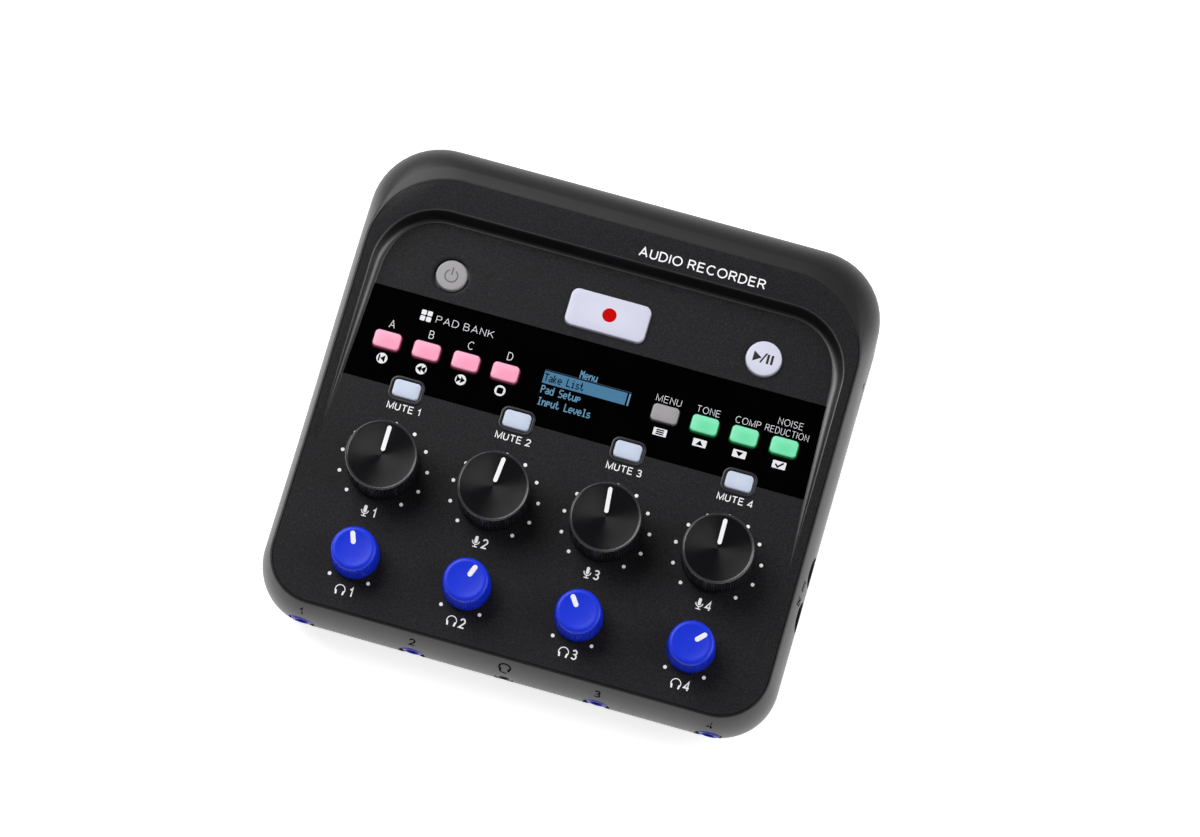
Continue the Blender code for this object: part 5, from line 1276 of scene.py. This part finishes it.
def addStroke(form, points, width, place=deckFrame, lift=0.0, slot=0):
    # A flat pen line of even width, mitred where it turns.
    closed = (points[0] - points[-1]).length < 1e-4
    if closed:
        points = points[:-1]
    rings = []
    for k, point in enumerate(points):
        before = point - points[k - 1] if closed or k > 0 else points[1] - point
        after = points[(k + 1) % len(points)] - point if closed or k < len(points) - 1 else before
        before, after = before.normalized(), after.normalized()
        along = before + after
        along = along.normalized() if along.length > 1e-3 else before
        side = Vector((-along.y, along.x))
        reach = width / 2 / max(0.42, abs(side.dot(Vector((-before.y, before.x)))))
        left, right = point + side * reach, point - side * reach
        ring = []
        for end, z in ((left, lift), (right, lift), (right, lift + inkThickness), (left, lift + inkThickness)):
            ring.append(place @ (Vector((end.x, end.y, z)) * mm))
        rings.append(ring)
    addLoft(form, rings, [slot] * len(rings), closed)


def addText(form, text, x, y, height, width=None, place=deckFrame, align=0.5, weight=0.3, stretch=None):
    # Lettering with its middle at y, of a cap height and a whole width or a stretch; align 0
    # starts at x, 1 ends there.
    pen = []
    cursor = 0.0
    for letter in text:
        if letter == " ":
            cursor += wordGap
            continue
        size, paths = letters[letter]
        pen += [(cursor, penPath(path)) for path in paths]
        cursor += size + letterGap
    long = cursor - letterGap
    tall = height - weight
    stretch = stretch or ((width - weight) / long if width else tall)
    for start, points in pen:
        moved = []
        for point in points:
            moved.append(Vector((x + (start + point.x - long * align) * stretch, y + (point.y - 0.5) * tall)))
        addStroke(form, moved, weight, place)


def addFlat(form, outline, place=deckFrame, lift=0.0, slot=0):
    addPrism(form, scaled(outline), lift * mm, (lift + inkThickness) * mm, place, slot)


def addLine(form, first, last, width, place=deckFrame):
    # A bar with round ends from one point to another.
    (x0, y0), (x1, y1) = first, last
    dx, dy = x1 - x0, y1 - y0
    turn = math.atan2(dy, dx)
    outline = []
    for start, middle in ((math.hypot(dx, dy), -math.pi / 2), (0, math.pi / 2)):
        for k in range(7):
            t = math.pi * k / 6 + middle
            px, py = start + width / 2 * math.cos(t), width / 2 * math.sin(t)
            outline.append((x0 + px * math.cos(turn) - py * math.sin(turn), y0 + px * math.sin(turn) + py * math.cos(turn)))
    addFlat(form, outline, place)


def arcPoints(x, y, radius, start, end, steps=14):
    turns = [math.radians(start + (end - start) * k / steps) for k in range(steps + 1)]
    return [(x + radius * math.cos(t), y + radius * math.sin(t)) for t in turns]


def addArc(form, x, y, radius, start, end, width, place=deckFrame):
    outer = arcPoints(x, y, radius + width / 2, start, end)
    inner = arcPoints(x, y, radius - width / 2, start, end)
    for k in range(len(outer) - 1):
        addFlat(form, [outer[k], outer[k + 1], inner[k + 1], inner[k]], place)


def addMicMark(form, x, y):
    # A capsule in a cradle on a foot.
    addFlat(form, [(x + px, y + 0.6 + py) for px, py in capsule(-1.15, 1.15, 1.0)])
    addArc(form, x, y + 0.15, 1.06, 178, 362, 0.3)
    addLine(form, (x, y - 0.95), (x, y - 1.55), 0.3)
    addLine(form, (x - 0.62, y - 1.66), (x + 0.62, y - 1.66), 0.3)


def addPhonesMark(form, x, y, size=1.0, place=deckFrame, microphone=False):
    # A head band with two ear cups, and a bolder one with a microphone arm.
    pen = 0.42 if microphone else 0.28
    addArc(form, x, y - 0.1 * size, 1.5 * size, -24, 204, pen * size, place)
    for sign in (-1, 1):
        low = (x + sign * 1.05 * size, y - 1.4 * size)
        high = (x + sign * 1.2 * size, y - 0.55 * size)
        addLine(form, low, high, 0.55 * size, place)
    if microphone:
        addArc(form, x + 0.1 * size, y - 1.1 * size, 1.5 * size, 200, 290, pen * size, place)


deckMarks = {
    "dotRadius": 13.43, "dotSize": 1.14, "dotTurn": 28, "phoneDotRadius": 9.42, "phoneDotTurn": 140,
    "muteRow": 18.75, "muteHeight": 2.3, "micRow": -15.0, "phoneRow": -40.35, "numberHeight": 3.15,
}


def addDot(form, x, y, radius, degrees):
    turn = math.radians(degrees)
    addFlat(form, circle(deckMarks["dotSize"] / 2, 20, (x + radius * math.sin(turn), y + radius * math.cos(turn))))


def makeDeckPrint():
    d = deckMarks
    form = bmesh.new()
    for n, x in enumerate(channelXs):
        x /= mm
        y = rowShape["phones"] / mm
        for k in range(11):
            addDot(form, x, 0, d["dotRadius"], d["dotTurn"] * (k - 5))
        for sign in (-1, 1):
            addDot(form, x, y, d["phoneDotRadius"], sign * d["phoneDotTurn"])
        addText(form, f"MUTE {n + 1}", x + 5.85, d["muteRow"], d["muteHeight"], align=1.0, weight=0.31, stretch=2.47)
        addMicMark(form, x - 1.4, d["micRow"])
        addText(form, str(n + 1), x + 1.45, d["micRow"] - 0.05, d["numberHeight"], weight=0.46)
        addPhonesMark(form, x - 1.55, d["phoneRow"])
        addText(form, str(n + 1), x + 1.8, d["phoneRow"] - 0.05, d["numberHeight"], weight=0.46)
    addPiece("deckPrint", form, [glowingInkWhite], "case")


def bandFrame():
    # The band behind the deck leans by its own slope; X across, Y to the back.
    c = caseShape
    start = Vector((0, c["rimStart"], deckHeight(c["rimStart"])))
    return Matrix.Translation(start) @ Matrix.Rotation(deckSlope + rimSlope, 4, "X")


def makeBandPrint():
    form = bmesh.new()
    addText(form, "AUDIO RECORDER", 24.0, 83.0, 3.1, 40.0, bandFrame(), weight=0.42)
    addPiece("bandPrint", form, [glowingInkWhite], "case")


def makeStripPrint():
    form = bmesh.new()
    columns = [place[0] / mm for place in keyPlaces().values()]
    pads, keys = columns[:4], columns[4:8]
    for x, letter in zip(pads, "ABCD"):
        addText(form, letter, x + 0.1, 43.3, 2.6, weight=0.21)
    for dx in (-0.95, 0.95):
        for dy in (-0.95, 0.95):
            addFlat(form, roundedBox(1.55, 1.55, 0.3, 3, (-53.4 + dx, 48.65 + dy)))
    addText(form, "PAD BANK", -41.0, 48.5, 2.3, 18.4, weight=0.18)
    for x, text, width in zip(keys, ("MENU", "TONE", "COMP"), (7.9, 7.4, 7.9)):
        addText(form, text, x, 43.25, 2.15, width, weight=0.16)
    addText(form, "NOISE", 62.8, 46.3, 2.15, 7.8, weight=0.15)
    addText(form, "REDUCTION", 62.4, 43.25, 2.15, 13.6, weight=0.15)
    # Round transport marks under the pads, square marks under the keys.
    low = 32.1
    triangle = ((0.55, 1.1), (0.55, -1.1), (-0.85, 0.0))
    for x in pads:
        addFlat(form, circle(1.7, 40, (x + 0.05, low)))
    for x, sign, shifts in ((pads[0], 1, (0.35,)), (pads[1], 1, (-0.55, 0.75)), (pads[2], -1, (0.55, -0.75))):
        for shift in shifts:
            addFlat(form, [(x + 0.05 + shift + sign * px, low + py) for px, py in triangle], lift=inkThickness, slot=1)
    addFlat(form, roundedBox(0.45, 2.1, 0.05, 1, (pads[0] - 0.85, low)), lift=inkThickness, slot=1)
    addFlat(form, roundedBox(1.95, 1.95, 0.4, 3, (pads[3] + 0.05, low)), lift=inkThickness, slot=1)
    low = 32.9
    for x in keys:
        addFlat(form, roundedBox(4.2, 2.4, 0.2, 3, (x, low)))
    for dy in (-0.65, 0.0, 0.65):
        addFlat(form, roundedBox(2.4, 0.42, 0.05, 1, (keys[0], low + dy)), lift=inkThickness, slot=1)
    for x, sign in ((keys[1], 1), (keys[2], -1)):
        points = [(-1.15, -0.7 * sign), (1.15, -0.7 * sign), (0.0, 0.85 * sign)]
        addFlat(form, [(x + px, low + py) for px, py in points][::sign], lift=inkThickness, slot=1)
    check = [Vector((keys[3] + px, low + py)) for px, py in ((-1.15, 0.15), (-0.3, -0.7), (1.25, 0.8))]
    addStroke(form, check, 0.52, lift=inkThickness, slot=1)
    addPiece("stripPrint", form, [glowingInkGrey, wallInk], "case")


pixelRows = {
    "M": (17, 27, 21, 21, 17, 17, 17), "e": (0, 0, 14, 17, 31, 16, 14), "n": (0, 0, 22, 25, 17, 17, 17), "u": (0, 0, 17, 17, 17, 19, 13),
    "T": (31, 4, 4, 4, 4, 4, 4), "a": (0, 0, 14, 1, 15, 17, 15), "k": (16, 16, 18, 20, 24, 20, 18), "L": (16, 16, 16, 16, 16, 16, 31),
    "i": (4, 0, 12, 4, 4, 4, 14), "s": (0, 0, 14, 16, 14, 1, 30), "t": (8, 8, 28, 8, 8, 9, 6), "P": (30, 17, 17, 30, 16, 16, 16),
    "d": (1, 1, 13, 19, 17, 17, 15), "S": (15, 16, 16, 14, 1, 1, 30), "p": (0, 0, 30, 17, 30, 16, 16), "I": (14, 4, 4, 4, 4, 4, 14),
    "v": (0, 0, 17, 17, 17, 10, 4), "l": (12, 4, 4, 4, 4, 4, 14), " ": (0, 0, 0, 0, 0, 0, 0),
}
picture = {"pixelWidth": 0.235, "pixelHeight": 0.36, "swell": 0.05, "left": -13.6, "top": 42.0, "rowPitch": 3.85,
           "barHeight": 3.9, "barRight": 12.5, "trackLeft": 13.1, "right": 13.6}


def addPixels(form, text, x, y, slot, lift=0.0):
    # Own dot letters, five by seven; runs of dots in a row are one bar.
    p = picture
    for letter in text:
        for row, bits in enumerate(pixelRows[letter]):
            column = 0
            while column < 5:
                if bits >> (4 - column) & 1:
                    run = 1
                    while column + run < 5 and bits >> (4 - column - run) & 1:
                        run += 1
                    left = x + column * p["pixelWidth"]
                    low = y - (row + 1) * p["pixelHeight"]
                    right = left + run * p["pixelWidth"] + p["swell"]
                    left -= p["swell"]
                    high = low + p["pixelHeight"] * 0.98
                    addFlat(form, [(left, low), (right, low), (right, high), (left, high)], lift=lift, slot=slot)
                    column += run
                else:
                    column += 1
        x += 6 * p["pixelWidth"]


def addBar(form, left, right, low, high, slot):
    addFlat(form, [(left, low), (right, low), (right, high), (left, high)], slot=slot)


def makePicture():
    p = picture
    form = bmesh.new()
    advance = 6 * p["pixelWidth"]
    inset = (p["barHeight"] - 7 * p["pixelHeight"]) / 2
    addPixels(form, "Menu", -2 * advance - 0.2, p["top"] + 3.1, 0)
    addBar(form, p["left"], p["right"], p["top"] + 0.28, p["top"] + 0.5, 2)
    low = p["top"] - p["barHeight"]
    addBar(form, p["left"], p["barRight"], low, p["top"], 1)
    addBar(form, p["trackLeft"], p["right"], low, p["top"], 0)
    addPixels(form, "Take List", p["left"] + 0.35, p["top"] - inset, 3, lift=inkThickness)
    addPixels(form, "Pad Setup", p["left"] + 0.35, p["top"] - inset - p["rowPitch"], 0)
    addPixels(form, "Input Levels", p["left"] + 0.35, p["top"] - inset - 2 * p["rowPitch"], 0)
    addPiece("displayPicture", form, [displayLight, displayBar, displayDim, wallInk], "case")


def makeButtonMarks():
    r = rowShape
    form = bmesh.new()
    place = deckFrame @ Matrix.Translation((r["recordX"], r["recordY"], 1.2 * mm))
    addFlat(form, circle(2.2, 56), place)
    addPiece("recordMark", form, [recordRed], "record_button")
    form = bmesh.new()
    place = deckFrame @ Matrix.Translation((r["playX"], r["playY"], 1.2 * mm))
    addFlat(form, [(-3.3, 1.65), (-3.3, -1.65), (-0.7, 0.0)], place)
    addStroke(form, [Vector((-0.85, -1.6)), Vector((0.65, 1.75))], 0.5, place)
    for x in (1.3, 2.6):
        addFlat(form, roundedBox(0.74, 3.0, 0.08, 2, (x, 0.0)), place)
    addPiece("playMark", form, [inkDark], "play_button")
    form = bmesh.new()
    place = deckFrame @ Matrix.Translation((r["powerX"], r["powerY"], r["powerTop"]))
    addStroke(form, penPath([(0.0, -0.2, 1.95, 1.95, 120, 420)], 24), 0.4, place)
    addStroke(form, [Vector((0.0, 0.1)), Vector((0.0, 2.55))], 0.4, place)
    addPiece("powerMark", form, [powerMark], "power_button")


def makeWallPrint(reference):
    # Numbers over the front jacks and a headset mark over the middle one; a word by the ports.
    wall = reference[0]
    upright = Matrix.Rotation(math.radians(90), 4, "X")
    front = Matrix.Translation((0, -100 * mm, 0)) @ upright
    right = Matrix.Translation((100 * mm, 0, 0)) @ Matrix.Rotation(math.radians(90), 4, "Z") @ upright
    form = bmesh.new()
    for n, x in enumerate(jackXs):
        addText(form, str(n + 1), x / mm, 21.5, 3.5, place=front, weight=0.5)
    addPhonesMark(form, 0.0, 21.9, 1.2, front, True)
    wrapPrint(form, wall, Vector((0, 1, 0)))
    addPiece("frontPrint", form, [wallInk], "case")
    form = bmesh.new()
    addText(form, "DC", -31.6, 25.6, 2.0, place=right, weight=0.4)
    addLine(form, (-28.3, 26.1), (-25.3, 26.1), 0.4, right)  # the mark of a direct current: a line over dashes
    for y in (-28.0, -26.8, -25.6):
        addLine(form, (y - 0.3, 25.1), (y + 0.3, 25.1), 0.4, right)
    wrapPrint(form, wall, Vector((-1, 0, 0)))
    addPiece("sidePrint", form, [wallInk], "case")


def wrapPrint(form, wall, towards):
    # Lays a flat print on the curved wall that it faces.
    for vertex in form.verts:
        top = vertex.co.dot(towards) < -100.01 * mm
        hit, normal, _, _ = wall.ray_cast(vertex.co, towards)
        if hit is not None:
            vertex.co = hit + normal * (0.035 * mm if top else 0.005 * mm)


makeDeckPrint()
makeBandPrint()
makeStripPrint()
makePicture()
makeButtonMarks()
makeWallPrint(reference)
print("print made")


# Jacks and microphone sockets

def makeJacks():
    j = jackShape
    names = [(f"headphone_jack_{n + 1}", f"phoneJack_{n + 1}", x) for n, x in enumerate(jackXs)]
    names.append(("headset_jack", "headsetJack", 0.0))
    for node, name, x in names:
        form = bmesh.new()
        face = -j["face"] / mm - 0.06
        body = roundedBox(j["width"], j["height"], 0.6 * mm, 3)
        addPrism(form, body, -j["bodyBack"], -j["bodyFront"], slot=1)
        nose = j["nose"] / mm
        collar = j["collar"] / mm
        behind = -j["collarBack"] / mm
        start = -j["bodyFront"] / mm - 0.2
        if x:
            # A ring with a soft round face and a coloured throat.
            profile = [(1.8, start), (1.8, face - 5.0), (1.9, face - 5.0), (1.9, face - 0.55), (1.98, face - 0.28),
                       (2.2, face - 0.08), (2.55, face), (2.9, face - 0.07), (3.25, face - 0.28), (3.52, face - 0.58), (3.7, face - 0.95),
                       (collar, face - 1.4), (collar, behind), (nose, behind), (nose, start)]
            slots = [1, 1] + [0] * 9 + [0, 1, 1, 1]
        else:
            profile = [(1.8, start), (1.8, face - 0.5), (1.9, face - 0.2), (2.1, face), (nose - 0.25, face),
                       (nose, face - 0.25), (nose, start)]
            slots = [1] * 7
        addTurned(form, scaled(profile), 56, slots=slots, closed=True)
        ring = blueRing if x else socketPlastic
        addPiece(name, form, [ring, socketPlastic], "case", jackFrame(x), node=node)


def makeMicSockets():
    # Three-pole locking sockets: a round flange, a core with three holes and a latch above it.
    b = bayShape
    for n, x in enumerate(channelXs):
        flange = (b["face"] + 0.3 * mm) / mm
        face = flange + 1.2
        form = bmesh.new()
        profile = [(10.3, flange - 17.3), (10.3, flange), (11.9, flange), (11.9, face - 0.35), (11.75, face - 0.1), (11.5, face),
                   (9.9, face), (9.65, face - 0.1), (9.5, face - 0.35), (9.5, face - 12.0), (7.8, face - 12.0), (7.8, face - 1.2),
                   (7.7, face - 0.95), (7.45, face - 0.8)]
        addTurned(form, scaled(profile), 72)
        socket = linkObject(f"micSocketShell_{n + 1}", form, [socketPlastic])
        turns = [math.tau * (k / 3 + 1 / 4) for k in range(3)]
        centres = [(4.6 * mm * math.cos(turn), 4.6 * mm * math.sin(turn)) for turn in turns]
        pins = bmesh.new()
        for centre in centres:
            addPrism(pins, circle(1.5 * mm, 24, centre), (face - 12.0) * mm, (face + 1) * mm)
        addPrism(pins, roundedBox(1.6 * mm, 1.8 * mm, 0.3 * mm, 3, (0, -7.3 * mm)), (face - 9.0) * mm, (face + 1) * mm)
        combine(socket, cutter(pins, 0))
        settle(socket)
        smooth(socket.data)
        socket.matrix_world = socketFrame(x)
        dress(socket, "case", f"mic_socket_{n + 1}")
        trim = bmesh.new()
        tube = scaled([(1.45, face - 11.8), (1.45, face - 2.4), (1.05, face - 2.4), (1.05, face - 11.8)])
        for centre in centres:
            addTurned(trim, tube, 20, Matrix.Translation((*centre, 0)), closed=True)
        addPiece(f"micSocketContacts_{n + 1}", trim, [contactGold], "case", socketFrame(x))
        latch = bmesh.new()
        outline = roundedBox(4.6 * mm, 1.5 * mm, 0.6 * mm, 6, (0, -10.55 * mm))
        rings = []
        for grow, height in ((1.0, face - 0.4), (1.0, face - 0.05), (0.94, face + 0.08), (0.8, face + 0.15)):
            rings.append([Vector((px * grow, -10.55 * mm + (py + 10.55 * mm) * grow, height * mm)) for px, py in outline])
        addLoft(latch, rings)
        addPiece(f"micSocketLatch_{n + 1}", latch, [turnedSteel], "case", socketFrame(x))


makeJacks()
makeMicSockets()
print("sockets made")


# Solids that stay as they are and only get a finish

keptFinishes = {
    "battery_door": basePlastic, "display_module": innerPlastic, "main_board": boardGreen, "socket_board": boardGreen,
    "battery_cell_1": cellJacket, "battery_cell_2": cellJacket, "usb_port_1": portSteel, "usb_port_2": portSteel,
}
for n in range(1, 5):
    keptFinishes[f"mic_shaft_{n}"] = turnedSteel
    keptFinishes[f"headphone_shaft_{n}"] = turnedSteel
for name, material in keptFinishes.items():
    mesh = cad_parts[name].data
    mesh.materials.clear()
    mesh.materials.append(material)


# Studio: a pale floor, soft light from the left and behind, and the photograph's camera

studio = {
    "horizon": 0.72, "zenith": 0.12,
    "lamps": ((-0.62, 0.42, 0.82, 11.8, 0.9), (1.0, 0.1, 0.7, 7.0, 0.8)),
    "floorColour": colour(234, 233, 234), "floorHalf": 6, "floorLift": 0.72,
    "glossNear": 1.25, "glossBehind": 0.4, "glossStart": 50, "glossEnd": 110,
}
view = {"lens": 138.33, "sensor": 36.0, "place": (0.11231, -0.44298, 1.35557), "right": (0.96121, 0.275327, 0.016419),
        "up": (-0.26528, 0.906556, 0.328311), "back": (0.07551, -0.319930, 0.944430)}


def makeStage():
    form = bmesh.new()
    for x, y in ((-1, -1), (1, -1), (1, 1), (-1, 1)):
        form.verts.new((x * studio["floorHalf"], y * studio["floorHalf"], 0))
    form.faces.new(form.verts[:])
    floor = linkObject("floor", form, [])
    material, tree, shader = newMaterial("floorPaper", studio["floorColour"], 0.9, Specular_IOR_Level=0.0)
    path = addNode(tree, "LightPath").outputs
    seen = calc(tree, "MAXIMUM", path["Is Camera Ray"], path["Is Transmission Ray"])
    place = addNode(tree, "SeparateXYZ", {0: addNode(tree, "TexCoord").outputs["Object"]})
    # This isn't plain light: in gloss the floor glows more near the unit, and less behind it, than it is seen.
    sheen = addNode(tree, "MapRange", {0: place.outputs[1], 1: studio["glossStart"] * mm, 2: studio["glossEnd"] * mm,
                                       3: studio["glossNear"], 4: studio["glossBehind"]})
    mirrored = calc(tree, "MULTIPLY", path["Is Glossy Ray"], sheen.outputs[0])
    lift = calc(tree, "MULTIPLY_ADD", seen, studio["floorLift"], mirrored)
    shader.inputs["Emission Color"].default_value = (1, 1, 1, 1)
    tree.links.new(lift, shader.inputs["Emission Strength"])
    floor.data.materials.append(material)


def makeWorld():
    world = bpy.data.worlds.new("studioSky")
    bpy.context.scene.world = world
    world.use_nodes = True
    tree = world.node_tree
    place = addNode(tree, "SeparateXYZ", {0: addNode(tree, "TexCoord").outputs["Generated"]})
    up = calc(tree, "MAXIMUM", place.outputs[2], 0.0)
    fall = calc(tree, "POWER", calc(tree, "SUBTRACT", 1.0, up), 2.0)
    level = calc(tree, "MULTIPLY_ADD", fall, studio["horizon"] - studio["zenith"], studio["zenith"])
    background = tree.nodes["Background"]
    background.inputs["Color"].default_value = (1, 1, 1, 1)
    tree.links.new(level, background.inputs["Strength"])


def makeLamps():
    for k, (x, y, z, power, size) in enumerate(studio["lamps"]):
        lamp = bpy.data.lights.new(f"softBox{k + 1}", "AREA")
        lamp.shape = "SQUARE"
        lamp.size = size
        lamp.energy = power
        item = bpy.data.objects.new(f"softBox{k + 1}", lamp)
        bpy.context.scene.collection.objects.link(item)
        item.location = (x, y, z)
        item.rotation_euler = (Vector((0, 0, 0.03)) - item.location).to_track_quat("-Z", "Y").to_euler()


def makeCamera():
    lens = bpy.data.cameras.new("camera")
    lens.sensor_width = view["sensor"]
    lens.sensor_fit = "HORIZONTAL"
    lens.lens = view["lens"]
    lens.clip_start = 0.05
    lens.clip_end = 30.0
    item = bpy.data.objects.new("camera", lens)
    bpy.context.scene.collection.objects.link(item)
    place = Matrix((view["right"], view["up"], view["back"])).transposed().to_4x4()
    item.matrix_world = Matrix.Translation(view["place"]) @ place
    bpy.context.scene.camera = item


makeStage()
makeWorld()
makeLamps()
makeCamera()
bpy.context.scene.view_settings.view_transform = "Standard"
bpy.context.view_layer.update()
